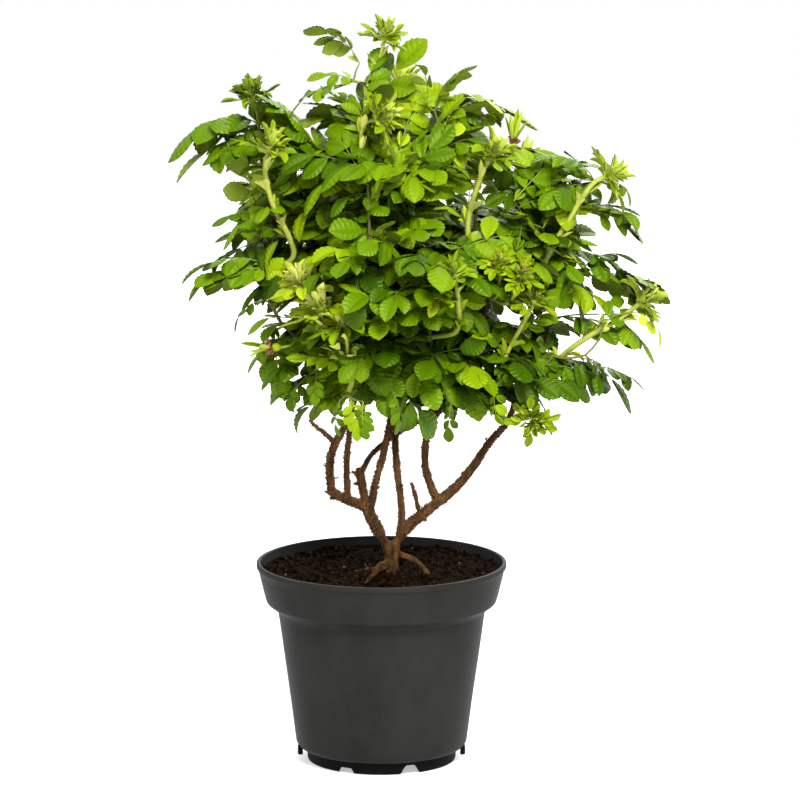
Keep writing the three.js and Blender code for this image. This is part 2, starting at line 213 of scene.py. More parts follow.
def curve_through(points, step):
    """A smooth line through a few points, with a point about every step."""
    points = np.asarray(points, float)
    padded = np.vstack([2 * points[0] - points[1], points, 2 * points[-1] - points[-2]])
    line = []
    for i in range(1, len(padded) - 2):
        a, b, c, d = padded[i - 1:i + 3]
        count = max(2, int(np.linalg.norm(c - b) / step))
        for t in np.arange(count) / count:
            line.append(0.5 * (2 * b + (c - a) * t + (2 * a - 5 * b + 4 * c - d) * t * t
                               + (3 * b - a - 3 * c + d) * t ** 3))
    line.append(points[-1])
    return np.array(line)


def node_points(name):
    """The corners of a CAD node."""
    mesh = NODES[name].data
    points = np.zeros(len(mesh.vertices) * 3, np.float32)
    mesh.vertices.foreach_get("co", points)
    return points.reshape(-1, 3).astype(float)


def within(name, across, deep, high):
    """The point at these shares of a CAD node's box, from its low corner to its high one."""
    low, high_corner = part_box(name)
    low, size = np.array(low), np.array(high_corner - low)
    return low + size * np.array([across, deep, high])


# -------------------------------------------------------------------------------- materials
def principled(name, colour, roughness, specular=0.5):
    """A material of one constant colour, and its shader."""
    material = bpy.data.materials.new(name)
    material.use_nodes = True
    shader = material.node_tree.nodes["Principled BSDF"]
    shader.inputs["Base Color"].default_value = (*[float(c) for c in colour], 1)
    shader.inputs["Roughness"].default_value = roughness
    shader.inputs["Specular IOR Level"].default_value = specular
    return material, shader


def plain(name, colour, roughness, specular=0.5, gloss_tint=None):
    """A material of one colour, whose gloss may have a tint of its own."""
    material, shader = principled(name, colour, roughness, specular)
    if gloss_tint is not None:
        shader.inputs["Specular Tint"].default_value = (*gloss_tint, 1)
    return material


def palette(name, tones, level, roughness, specular, gloss_tint=None, first=0):
    """One plain material for each tone, darkened to a level."""
    return [plain(f"{name}_{i}", linear(*tone) * level, roughness, specular, gloss_tint)
            for i, tone in enumerate(tones, first)]


def add_node(material, kind, values, **sources):
    """A shader node with its fixed values, and links into its inputs from other nodes' sockets."""
    node = material.node_tree.nodes.new(f"ShaderNode{kind}")
    for name, value in values.items():
        node.inputs[name].default_value = value
    for name, socket in sources.items():
        material.node_tree.links.new(socket, node.inputs[name])
    return node


def mottled(name, dark, light, roughness, specular, scale, grain, bump, stretch=(1, 1, 1), depth=0.3):
    """A material whose colour drifts between two tones, with a fine relief. Depth is in millimetres."""
    material, shader = principled(name, dark, roughness, specular)
    links = material.node_tree.links
    where = add_node(material, "TexCoord", {}).outputs["Object"]
    spot = add_node(material, "Mapping", {"Scale": stretch}, Vector=where).outputs["Vector"]
    broad = add_node(material, "TexNoise", {"Scale": scale, "Detail": 6, "Roughness": 0.65}, Vector=spot)
    ramp = add_node(material, "ValToRGB", {}, Fac=broad.outputs["Fac"])
    for element, position, colour in zip(ramp.color_ramp.elements, (0.32, 0.68), (dark, light)):
        element.position = position
        element.color = (*[float(c) for c in colour], 1)
    links.new(ramp.outputs["Color"], shader.inputs["Base Color"])
    fine = add_node(material, "TexNoise", {"Scale": grain, "Detail": 4}, Vector=spot)
    relief = add_node(material, "Bump", {"Strength": bump, "Distance": depth * MM},
                      Height=fine.outputs["Fac"])
    links.new(relief.outputs["Normal"], shader.inputs["Normal"])
    limits = {"To Min": roughness - 0.08, "To Max": roughness + 0.1}
    span = add_node(material, "MapRange", limits, Value=broad.outputs["Fac"])
    links.new(span.outputs["Result"], shader.inputs["Roughness"])
    return material


LEAF_LEVEL = 0.53  # how much darker a leaf's own colour is than it looks in the light
LEAF_TONES = [
    (34, 58, 0), (46, 74, 0), (60, 92, 0), (76, 110, 0), (92, 126, 0),
    (112, 144, 2), (134, 162, 6), (166, 188, 26), (202, 214, 60), (226, 228, 104),
]
YOUNG = 7  # the first tone of young growth
UNDERSIDE_TONES = [(76, 98, 30), (98, 120, 38), (130, 152, 48), (178, 198, 66), (224, 230, 112)]
LEAF_GLOSS = (0.85, 1.0, 0.25)

leaf_materials = [
    *palette("leaf_tone", LEAF_TONES, LEAF_LEVEL, 0.44, 0.2, LEAF_GLOSS),
    *palette("leaf_underside", UNDERSIDE_TONES, LEAF_LEVEL, 0.7, 0.12, LEAF_GLOSS),
]


def underside(tone):
    """The material of the lower side of a leaflet whose upper side has a tone."""
    return len(LEAF_TONES) + min(len(UNDERSIDE_TONES) - 1, tone // 2)


# ------------------------------------------------------------------------------ the pot
# Millimetres. A pair is a radius and a height.
POT_HEIGHT = 182
WALL = 2.5
RIM_RADIUS = 113.2
RIM_DEPTH = 5
COLLAR_TOP = (111.9, 177)
COLLAR_BOTTOM = (104.8, 147.4)
BODY_TOP = (93.8, 137.7)
BODY_BOTTOM = (77.8, 15.5)
SKIRT = (67.6, 10.8)
BOSS_RADIUS = 20
BOSS_HEIGHT = SKIRT[1] + 0.4  # the boss and the skirt reach a little into the floor
NOTCHES = 7
NOTCH_WIDTH = 13
NOTCH_HEIGHT = 7.6
SHALLOW_NOTCH_HEIGHT = 4.5
FIRST_NOTCH = 23  # degrees from the front towards +X
TAB_ANGLE = 77
TAB_CLEARANCE = 10  # a notch that would be nearer to a tab is left out
TAB_BOTTOM = 6.6
TAB_TOP = 14.5
TAB_REACH = 78.2
TAB_BEAD = 0.9  # a tab is a stack of beads of this radius
POT_SEGMENTS = 240
SKIRT_SEGMENTS = 420
BOSS_SEGMENTS = 48


def bezier(start, bend, end, steps):
    """Outline points on a curve that leaves its start, and reaches its end, aiming at the bend."""
    t = np.linspace(0, 1, steps)[:, None]
    points = (1 - t) ** 2 * np.array(start) + 2 * t * (1 - t) * np.array(bend) + t * t * np.array(end)
    return [tuple(p) for p in points]


def pot_outline():
    """The section of the pot's shell, from under the floor, up the outside, and down the inside."""
    outline = [(0.3, SKIRT[1]), (SKIRT[0] - 2, SKIRT[1])]
    outline += bezier(SKIRT, (BODY_BOTTOM[0] - 1.2, SKIRT[1] + 0.3), (BODY_BOTTOM[0], BODY_BOTTOM[1] + 2), 10)
    outline += [(BODY_BOTTOM[0] + (BODY_TOP[0] - BODY_BOTTOM[0]) * t,
                 BODY_BOTTOM[1] + 2 + (BODY_TOP[1] - BODY_BOTTOM[1] - 2) * t)
                for t in np.linspace(0, 1, 14)[1:-1]]
    outline += bezier((BODY_TOP[0], BODY_TOP[1] - 1), (BODY_TOP[0] + 1, BODY_TOP[1] + 3),
                      (BODY_TOP[0] + 5, BODY_TOP[1] + 4.5), 6)
    outline += bezier((COLLAR_BOTTOM[0] - 4, COLLAR_BOTTOM[1] - 3.2),
                      (COLLAR_BOTTOM[0] - 0.6, COLLAR_BOTTOM[1] - 2.2),
                      (COLLAR_BOTTOM[0], COLLAR_BOTTOM[1] + 1), 6)
    outline += [(COLLAR_BOTTOM[0] + (COLLAR_TOP[0] - COLLAR_BOTTOM[0]) * t,
                 COLLAR_BOTTOM[1] + (COLLAR_TOP[1] - COLLAR_BOTTOM[1]) * t)
                for t in (0.2, 0.4, 0.6, 0.8, 0.98)]
    outline += arc((RIM_RADIUS - 0.8, POT_HEIGHT - RIM_DEPTH + 1), 0.8, -80, 0, 4)
    outline += arc((RIM_RADIUS - 1.3, POT_HEIGHT - 1.3), 1.3, 0, 90, 6)
    inner = COLLAR_TOP[0] - WALL
    outline += arc((inner + 0.9, POT_HEIGHT - 0.9), 0.9, 90, 180, 5)
    outline += [(inner - 0.4, POT_HEIGHT - 3), (COLLAR_BOTTOM[0] - WALL, COLLAR_BOTTOM[1] + 2),
                (BODY_TOP[0] - WALL, BODY_TOP[1]), (BODY_BOTTOM[0] - WALL, BODY_BOTTOM[1] + 5),
                (BODY_BOTTOM[0] - WALL - 6, SKIRT[1] + WALL), (0.3, SKIRT[1] + WALL)]
    return np.array(outline) * MM


def notch_depth(angle):
    """How far the foot of the skirt is cut away at an angle round the pot."""
    depth = np.zeros_like(angle)
    for i in range(NOTCHES):
        from_front = FIRST_NOTCH + i * 360 / NOTCHES
        if abs(min(from_front, 360 - from_front) - TAB_ANGLE) < TAB_CLEARANCE:
            continue
        centre = math.radians(from_front - 90)
        away = np.abs((angle - centre + math.pi) % (2 * math.pi) - math.pi) * SKIRT[0]
        height = SHALLOW_NOTCH_HEIGHT if i == NOTCHES - 1 else NOTCH_HEIGHT
        edge = 6.5 if i == 0 else 3.2  # the first notch has the roundest corners
        depth = np.maximum(depth, height * smooth_step((NOTCH_WIDTH / 2 + edge / 2 - away) / edge) ** 0.7)
    return depth


def skirt():
    """The ring under the pot's floor that it stands on, with its notches."""
    angle = np.linspace(0, 2 * math.pi, SKIRT_SEGMENTS, endpoint=False)
    cut = notch_depth(angle)
    rows = []
    for inwards, share in ((0, 1), (0, 0.5), (0.1, 0.12), (0.6, 0), (1.9, 0), (2.4, 0.12), (WALL, 1)):
        height = cut + (BOSS_HEIGHT - cut) * share
        around = SKIRT[0] - inwards
        rows.append(np.stack([around * np.cos(angle), around * np.sin(angle), height], axis=1))
    return np.concatenate(rows) * MM, grid_faces(len(rows), SKIRT_SEGMENTS, True)[:, ::-1]


def tab_beads(side):
    """The beads, one above the other, that make up one of the small tabs beside the skirt."""
    angle = math.radians(-90 + side * TAB_ANGLE)
    outward = np.array([math.cos(angle), math.sin(angle), 0])
    across = np.array([-outward[1], outward[0], 0])
    outline = [(3.4, -2.4), (0.8, -2.2), (0, 0), (0.8, 2.2), (3.4, 2.4)]
    for level in np.linspace(TAB_BOTTOM + TAB_BEAD, TAB_TOP, 6):
        line = [outward * (TAB_REACH - TAB_BEAD - back) * MM + across * wide * MM + UP * level * MM
                for back, wide in outline]
        yield tube(line, [TAB_BEAD * MM] * len(line), 8)


def make_pot():
    """The moulded pot: its shell a little uneven below the collar, its skirt, boss and tabs."""
    pot = Batch()
    points, faces = lathe(pot_outline(), POT_SEGMENTS)
    wobble = value_noise(points * [26, 26, 18], 5) * 0.35 * MM
    around = points[:, :2] / (np.linalg.norm(points[:, :2], axis=1, keepdims=True) + 1e-9)
    below_collar = points[:, 2] < 140 * MM
    points[:, :2] += around * (wobble * below_collar)[:, None]
    pot.add(points, faces, 0)
    pot.add(*skirt(), 1)
    boss = [(BOSS_RADIUS, BOSS_HEIGHT), *arc((BOSS_RADIUS - 1, 1), 1, 0, -90, 4), (0.3, 0)]
    pot.add(*lathe(np.array(boss) * MM, BOSS_SEGMENTS), 1)
    for side in (-1, 1):
        for points, faces in tab_beads(side):
            pot.add(points, faces, 1)
    dark, light = linear(24, 24, 23), linear(34, 34, 33)
    plastic = mottled("pot_plastic", dark, light, 0.5, 0.035, 16, 900, 0.25, (1, 1, 0.5), 0.25)
    # The skirt, boss and tabs take a material a quarter as bright as the shell's: painted shade under the
    # pot.
    foot = mottled("pot_foot_painted_shade", dark * 0.25, light * 0.25, 0.6, 0.03, 40, 900, 0.25)
    pot.build("pot_shell", [plastic, foot], "pot_plastic", ["nursery_pot"])


# ---------------------------------------------------------------------- the potting mix
SOIL_RADIUS = 108.6
SOIL_RINGS = 56
SOIL_SEGMENTS = 150
CAD_SOIL_REACH = 0.1  # beyond this the height is taken from here, inside the CAD solid's edge
SOIL_LEVEL = 0.174
GRANULES = 5200
STUMP = (10, -31)
HEAP = 26  # how far round the stump more crumbs lie
HEAPED_SHARE = 0.25
PALE_SHARE = 0.035
SOIL_LEVELS = (0.26, 0.5)  # how much darker than they look: the brown crumbs, and the pale ones
CRUMB_TONES = [(38, 25, 15), (48, 33, 21), (60, 42, 28), (24, 13, 7)]
PALE_TONES = [(112, 88, 62), (90, 72, 52)]


def soil_surface():
    """The height of the mix under any place in the pot, from the CAD solid's top."""
    mesh = NODES["potting_mix"].data
    tree = BVHTree.FromPolygons([v.co for v in mesh.vertices], [p.vertices for p in mesh.polygons])

    def height(x, y):
        shrink = min(1, CAD_SOIL_REACH / max(math.hypot(x, y), 1e-9))
        hit = tree.ray_cast(Vector((x * shrink, y * shrink, 0.3)), Vector((0, 0, -1)))[0]
        return hit.z if hit else SOIL_LEVEL
    return height


def twenty_sided():
    """The corners and faces of a regular solid with 20 sides and edges 2 long."""
    golden = (1 + 5 ** 0.5) / 2
    corners = np.array([(0, s, t * golden) for s in (-1, 1) for t in (-1, 1)])
    corners = np.concatenate([np.roll(corners, shift, axis=1) for shift in range(3)])
    faces = []
    for i, j, k in combinations(range(len(corners)), 3):
        edges = [np.linalg.norm(corners[a] - corners[b]) for a, b in ((i, j), (j, k), (i, k))]
        if max(edges) < 2.1:
            normal = np.cross(corners[j] - corners[i], corners[k] - corners[i])
            faces.append((i, j, k) if np.dot(normal, corners[i]) > 0 else (i, k, j))
    return corners, np.array(faces)


def lump(corners, rng, size, flat):
    """A rough crumb of about that size, from the corners of a regular one."""
    corners = corners / np.linalg.norm(corners[0]) * rng.uniform(0.65, 1.15, (len(corners), 1))
    turn = np.linalg.qr(rng.normal(size=(3, 3)))[0]
    return (corners * [1, rng.uniform(0.5, 0.9), flat]) @ turn * size


def soil_top(height):
    """The rough top of the mix, as a grid round the pot's middle."""
    reach = np.linspace(0.002, 1, SOIL_RINGS)[:, None] * SOIL_RADIUS * MM
    angle = np.linspace(0, 2 * math.pi, SOIL_SEGMENTS, endpoint=False)[None, :]
    points = np.stack([reach * np.cos(angle), reach * np.sin(angle), 0 * reach * angle], axis=2)
    points = points.reshape(-1, 3)
    points[:, 2] = [height(x, y) for x, y, _ in points]
    rough = 1.1 * value_noise(points * [110, 110, 0], 21) + 1.0 * value_noise(points * [300, 300, 0], 22)
    points[:, 2] += rough * MM + 0.4 * MM * value_noise(points * [800, 800, 0], 23)
    return points, grid_faces(SOIL_RINGS, SOIL_SEGMENTS, True)


def make_soil():
    """The potting mix: an uneven top with brown crumbs and a few pale ones, thickest at the stump."""
    rng = np.random.default_rng(11)
    height = soil_surface()
    soil = Batch()
    soil.add(*soil_top(height), 0)
    corners, faces = twenty_sided()
    first_pale = 1 + len(CRUMB_TONES)
    for _ in range(GRANULES):
        distance = SOIL_RADIUS * MM * math.sqrt(rng.uniform(0, 0.985))
        turn = rng.uniform(0, 2 * math.pi)
        size = MM * (0.7 + 2.8 * rng.uniform() ** 3)
        middle = np.zeros(3)
        if rng.uniform() < HEAPED_SHARE:
            distance = HEAP * MM * rng.uniform() ** 0.7
            middle = np.array([*STUMP, 0]) * MM
        place = middle + np.array([distance * math.cos(turn), distance * math.sin(turn), 0])
        if np.hypot(place[0], place[1]) > (SOIL_RADIUS - 2) * MM:
            continue
        place[2] = height(place[0], place[1]) + size * rng.uniform(-0.1, 0.7)
        pale = rng.uniform() < PALE_SHARE
        tint = rng.integers(first_pale, first_pale + 2) if pale else rng.integers(0, first_pale)
        crumb = lump(corners, rng, size * (0.6 if pale else 1), rng.uniform(0.35, 0.8))
        soil.add(place + crumb, faces, tint)
    base = mottled("soil_base", linear(8, 4, 1), linear(20, 11, 5), 0.9, 0.01, 90, 700, 0.5, depth=1)
    crumbs = palette("soil_crumb", CRUMB_TONES, SOIL_LEVELS[0], 0.9, 0.012, first=1)
    pale_crumbs = palette("soil_crumb", PALE_TONES, SOIL_LEVELS[1], 0.9, 0.012, first=first_pale)
    soil.build("soil", [base, *crumbs, *pale_crumbs], "potting_mix", ["potting_mix"])


# ------------------------------------------------------- the stump, the roots and the stems
WOOD_VOXEL = 0.85 * MM
WOOD_GROWTH = 0.62 * MM  # makes up for the smoothing, and closes the gaps between the limbs
PRICKLES = 9000
PRICKLES_FROM = 212 * MM  # the stump and the roots below this are bare
STUMP_TOP = 214 * MM
STUMP_AXIS = (9, -29)
BARK_LEVEL = 0.4  # how much darker the bark's own colour is than it looks in the light
OLIVE_TOP = 0.25  # the bark starts to turn olive at this height, and has turned at the next
OLIVE_FULL = 0.2
OLIVE_TURN = (0.62, 0.72, 0.6, 1)
# Small dead stubs and rootlets: the limb each is on, where along that limb's box it starts, the
# way it points, its length and its thickness, both in millimetres.
STUBS = [
    ("bough_left_side", (0.0, 0.4, 0.75), (-1, 0, 0.25), 4.5, 2.3),
    ("bough_left_side", (0.1, 0.4, 0.5), (-0.8, -0.3, -0.4), 3.5, 2.0),
    ("bough_left_rise", (0.0, 0.3, 0.3), (-0.75, 0, 0.65), 6.5, 0.9),
    ("bough_left_rise", (0.3, 0.3, 0.17), (1, -0.1, 0.35), 7, 1.0),
    ("snag_left", (0.1, 0.5, 0.6), (-1, -0.2, -0.15), 4.5, 1.9),
    ("snag_left", (0.0, 0.5, 0.85), (-0.9, -0.3, 0.5), 5, 2.2),
    ("snag_left", (0.2, 0.3, 0.95), (0.3, -0.6, 0.9), 3.5, 2.0),
    ("crossing_branch", (0.52, 0.5, 0.65), (0.12, 0, 1), 8, 0.9),
    ("crossing_branch", (0.2, 0.4, 0.3), (-0.2, 0, 1), 5, 0.8),
    ("stem_left_inner", (0.3, 0.4, 0.22), (-1, -0.3, 0.2), 3.2, 1.7),
    ("stem_right_lower", (0.62, 0.4, 0.55), (0.4, 0, -0.8), 3.4, 2.0),
    ("stem_right_upper", (0.3, 0.4, 0.3), (0.6, 0, -0.7), 3.2, 1.8),
    ("stem_right_upper", (0.55, 0.4, 0.58), (-0.6, 0, 0.8), 4.2, 1.0),
    ("exposed_root_left", (0.5, 0.6, 0.7), (-0.15, -0.9, -0.28), 24, 2.3),
    ("exposed_root_left", (0.5, 0.6, 0.7), (-0.95, -0.35, -0.26), 22, 2.1),
    ("exposed_root_front", (0.5, 0.3, 0.5), (0.5, -0.7, -0.6), 13, 1.7),
    ("exposed_root_right", (0.6, 0.4, 0.35), (0.5, -0.7, -0.5), 9, 1.0),
]


def joined_limbs():
    """One coarse mesh of all the limbs, each a closed solid."""
    bm = bmesh.new()
    for name in LIMBS:
        bm.from_mesh(NODES[name].data)
    bmesh.ops.remove_doubles(bm, verts=bm.verts, dist=0.02 * MM)
    bmesh.ops.recalc_face_normals(bm, faces=bm.faces)
    mesh = bpy.data.meshes.new("limbs")
    bm.to_mesh(mesh)
    bm.free()
    return mesh


def with_modifier(mesh, kind, **settings):
    """The mesh after one modifier."""
    holder = bpy.data.objects.new("holder", mesh)
    bpy.context.scene.collection.objects.link(holder)
    modifier = holder.modifiers.new("change", kind)
    for key, value in settings.items():
        setattr(modifier, key, value)
    graph = bpy.context.evaluated_depsgraph_get()
    result = bpy.data.meshes.new_from_object(holder.evaluated_get(graph))
    bpy.data.objects.remove(holder)
    return result


def mesh_arrays(mesh):
    """A mesh's points and the normal at each."""
    points = np.zeros(len(mesh.vertices) * 3, np.float32)
    normals = np.zeros(len(mesh.vertices) * 3, np.float32)
    mesh.vertices.foreach_get("co", points)
    mesh.vertices.foreach_get("normal", normals)
    return points.reshape(-1, 3).astype(float), normals.reshape(-1, 3).astype(float)


def carve_stump(points, normals):
    """Narrows the stump and the roots under the fork, and deepens the fork itself."""
    high = points[:, 2] / MM
    away = points[:, :2] - np.array(STUMP_AXIS) * MM
    distance = np.linalg.norm(away, axis=1) / MM
    keep = np.interp(high, [176, 188, 198, 206, 213], [0.66, 0.6, 0.7, 0.88, 1])
    points[:, :2] -= away * ((1 - keep) * smooth_step((24 - distance) / 10))[:, None]
    roots = smooth_step((distance - 9) / 8) * smooth_step((200 - high) / 5)
    thinner = np.interp(away[:, 0] / MM, [0, 6], [1.15, 0.5])
    points -= normals * (roots * thinner * MM)[:, None]
    middle = smooth_step(1 - np.abs(away[:, 0] / MM + 1) / 8) * smooth_step((26 - distance) / 8)
    points[:, 2] -= middle * smooth_step((high - 192) / 20) * smooth_step((230 - high) / 14) * 8 * MM


def bark_material():
    """Red-brown bark that turns olive and darker towards the stump, with flecks and ridges."""
    dark, light = linear(48, 27, 10) * BARK_LEVEL, linear(150, 100, 60) * BARK_LEVEL
    bark = mottled("bark", dark, light, 0.75, 0.05, 130, 900, 0.9, (1, 1, 0.35), 1.2)
    links = bark.node_tree.links
    colour = bark.node_tree.nodes["Principled BSDF"].inputs["Base Color"]
    tone = colour.links[0].from_socket
    where = add_node(bark, "TexCoord", {}).outputs["Object"]
    height = add_node(bark, "SeparateXYZ", {}, Vector=where).outputs["Z"]
    patches = add_node(bark, "TexNoise", {"Scale": 45}, Vector=where).outputs["Fac"]
    low = add_node(bark, "MapRange", {"From Min": OLIVE_TOP, "From Max": OLIVE_FULL}, Value=height)
    patchy = add_node(bark, "Math", {})
    patchy.operation = "MULTIPLY_ADD"
    patchy.use_clamp = True
    links.new(low.outputs["Result"], patchy.inputs[0])
    patchy.inputs[1].default_value = 0.6
    links.new(patches, patchy.inputs[2])
    turned = add_node(bark, "Mix", {})
    turned.data_type = "RGBA"
    turned.blend_type = "MULTIPLY"
    links.new(patchy.outputs["Value"], turned.inputs["Factor"])
    links.new(tone, turned.inputs["A"])
    turned.inputs["B"].default_value = OLIVE_TURN
    links.new(turned.outputs["Result"], colour)
    return bark


def make_wood():
    """The stump, roots and stems as one piece with bark relief, and the prickles that stand on it."""
    rng = np.random.default_rng(31)
    mesh = with_modifier(joined_limbs(), "SUBSURF", levels=2)
    points, normals = mesh_arrays(mesh)
    points += normals * WOOD_GROWTH
    mesh.vertices.foreach_set("co", points.astype(np.float32).ravel())
    bm = bmesh.new()
    bm.from_mesh(mesh)
    for limb, share, ahead, length, thickness in STUBS:
        spot = within(limb, *share)
        start = points[np.argmin(np.linalg.norm(points - spot, axis=1))]
        for t in np.linspace(-0.25, 1, int(length / thickness * 2.5) + 3):
            place = start + unit(np.array(ahead)) * length * t * MM + UP * 0.1 * length * t * t * MM
            radius = thickness * (1 - 0.45 * max(t, 0)) * rng.uniform(0.85, 1.15) * MM
            made = bmesh.ops.create_icosphere(bm, subdivisions=1, radius=radius)
            bmesh.ops.translate(bm, verts=made["verts"], vec=Vector(place))
    bm.to_mesh(mesh)
    bm.free()
    mesh = with_modifier(mesh, "REMESH", mode="VOXEL", voxel_size=WOOD_VOXEL)
    mesh = with_modifier(mesh, "SMOOTH", factor=0.5, iterations=4)
    points, normals = mesh_arrays(mesh)
    carve_stump(points, normals)
    relief = 0.4 * value_noise(points * [420, 420, 110], 41)
    relief += 0.36 * value_noise(points * [900, 900, 260], 42)
    relief += 0.16 * value_noise(points * [1500, 1500, 700], 43)
    stump = smooth_step((STUMP_TOP - points[:, 2]) / 0.014)
    relief += stump * (1.1 * value_noise(points * [230, 230, 90], 44) - 0.3)
    relief -= stump * 1.5 * np.maximum(0, 0.35 - np.abs(value_noise(points * [260, 260, 60], 45)))
    relief += 0.3 * stump * value_noise(points * 600, 46)
    points += normals * (relief * MM)[:, None]
    mesh.vertices.foreach_set("co", points.astype(np.float32).ravel())
    mesh.update()
    mesh.name = "stems"
    mesh.shade_smooth()
    mesh.materials.append(bark_material())
    stems = show(mesh)
    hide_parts(*LIMBS)
    prickles = Batch()
    high = np.flatnonzero(points[:, 2] > PRICKLES_FROM)
    for i in rng.choice(high, PRICKLES, replace=False):
        length = rng.uniform(1.1, 3.0) * MM
        add_prickle(prickles, rng, points[i], normals[i], length, rng.uniform(0.3, 0.65) * MM,
                    rng.integers(0, 3))
    browns = palette("prickle", [(60, 36, 16), (110, 76, 44), (150, 118, 82)], BARK_LEVEL, 0.7, 0.08)
    prickles.build("prickles", browns, "bark")


def add_prickle(batch, rng, place, outward, length, radius, tint):
    """A small straight thorn, as a pyramid of three sides."""
    outward = unit(outward + rng.normal(0, 0.22, 3))
    side = unit(np.cross(outward, [0.4, 0.3, 0.87]))
    other = np.cross(outward, side)
    base = [place - outward * radius + radius * (math.cos(a) * side + math.sin(a) * other)
            for a in (0, 2.094, 4.189)]
    batch.add([*base, place + outward * length], [(0, 1, 3), (1, 2, 3), (2, 0, 3)], tint)


# ---------------------------------------------------------------------- leaves: one leaflet
TOP_COLUMNS = np.array([-1, -0.52, 0, 0.52, 1])
UNDER_COLUMNS = np.array([-1, 0, 1])


def leaflet_shape(rows, width, fold, curl, droop, pleat, tooth, lower=0.0, columns=TOP_COLUMNS):
    """A leaflet of length 1 along +X with its upper side towards +Z, as a grid of points."""
    t = np.linspace(0, 1, rows)[:, None]
    s = columns[None, :]
    edge = np.abs(s) > 0.9
    t_in = np.clip(t, 0.004, 0.996)
    half = width * np.sin(math.pi * t_in ** 0.88) ** 0.82 * (1 - 0.16 * t_in ** 3)
    beat = np.where(np.arange(rows) % 2 == 1, 1.0, -1.0)[:, None]
    swell = np.sin(math.pi * t)
    on_midrib = np.abs(s) < 0.1
    along = t + 0.13 * np.abs(s) ** 1.3 * swell + tooth * 0.35 * edge * beat * swell
    across = s * half * (1 + tooth * edge * beat)
    rise = fold * np.abs(across) - curl * half * np.abs(s) ** 2.4
    rise = rise + pleat * beat * np.minimum(1, np.abs(s) * 1.6) * swell ** 0.5 * ~on_midrib
    rise = rise - 0.014 * on_midrib * swell - lower
    bend = droop * along
    if abs(droop) < 1e-3:
        x, z = along + rise * 0, rise
    else:
        x = np.sin(bend) / droop + rise * np.sin(bend)
        z = -(1 - np.cos(bend)) / droop + rise * np.cos(bend)
    return np.stack([x, across + 0 * x, z], axis=2).reshape(-1, 3)


class Leaflet:
    """The upper and the lower face of one shape of leaflet."""

    def __init__(self, width, fold, curl, droop, pleat=0.007, tooth=0.032, rows=15, under_rows=6):
        self.top = leaflet_shape(rows, width, fold, curl, droop, pleat, tooth)
        self.top_faces = grid_faces(rows, len(TOP_COLUMNS))
        self.under = leaflet_shape(under_rows, width * 0.95, fold, curl, droop, 0, 0, 0.016, UNDER_COLUMNS)
        self.under_faces = grid_faces(under_rows, len(UNDER_COLUMNS))[:, ::-1]

    def place(self, batch, origin, ahead, up, size, tone, broad=1.0):
        """Adds the leaflet to a batch, from its foot at the origin, with both faces toned to match."""
        x = unit(ahead)
        y = unit(np.cross(up, x))
        z = np.cross(x, y)
        turn = np.stack([x, y * broad, z]) * size
        batch.add(origin + self.top @ turn, self.top_faces, tone)
        batch.add(origin + self.under @ turn, self.under_faces, underside(tone))


def leaflet_family(seed, count, width, fold, curl, droop, pleat, **more):
    """Several shapes of one kind of leaflet, each size drawn between two limits."""
    rng = np.random.default_rng(seed)
    return [Leaflet(rng.uniform(*width), rng.uniform(*fold), rng.uniform(*curl), rng.uniform(*droop),
                    pleat, **more) for _ in range(count)]


MATURE = leaflet_family(51, 14, (0.28, 0.36), (0.05, 0.5), (0.05, 0.6), (0.3, 1.45), 0.0075)
YOUNG_OPEN = leaflet_family(52, 6, (0.22, 0.3), (0.3, 0.8), (0.0, 0.3), (-0.2, 1.2), 0.008, rows=13)
YOUNG_FOLDED = leaflet_family(53, 6, (0.13, 0.2), (0.9, 2.0), (0.0, 0.2), (-0.9, 0.6), 0.007, tooth=0.02,
                              rows=9, under_rows=5)
BRACT = leaflet_family(54, 4, (0.16, 0.24), (0.5, 1.0), (0.0, 0.2), (-0.6, 0.8), 0.004, tooth=0.012,
                       rows=8, under_rows=5)


# ------------------------------------------------------------------ leaves: one whole leaf
def leaf_line(base, ahead, up, length, arch, steps=7):
    """The midrib of a compound leaf, and the direction it has at each point."""
    t = np.linspace(0, 1, steps)[:, None]
    middle = base + ahead * length * 0.5 + up * length * arch
    end = base + ahead * length
    line = (1 - t) ** 2 * base + 2 * t * (1 - t) * middle + t * t * end
    heading = 2 * (1 - t) * (middle - base) + 2 * t * (end - middle)
    return line, heading / np.linalg.norm(heading, axis=1, keepdims=True)


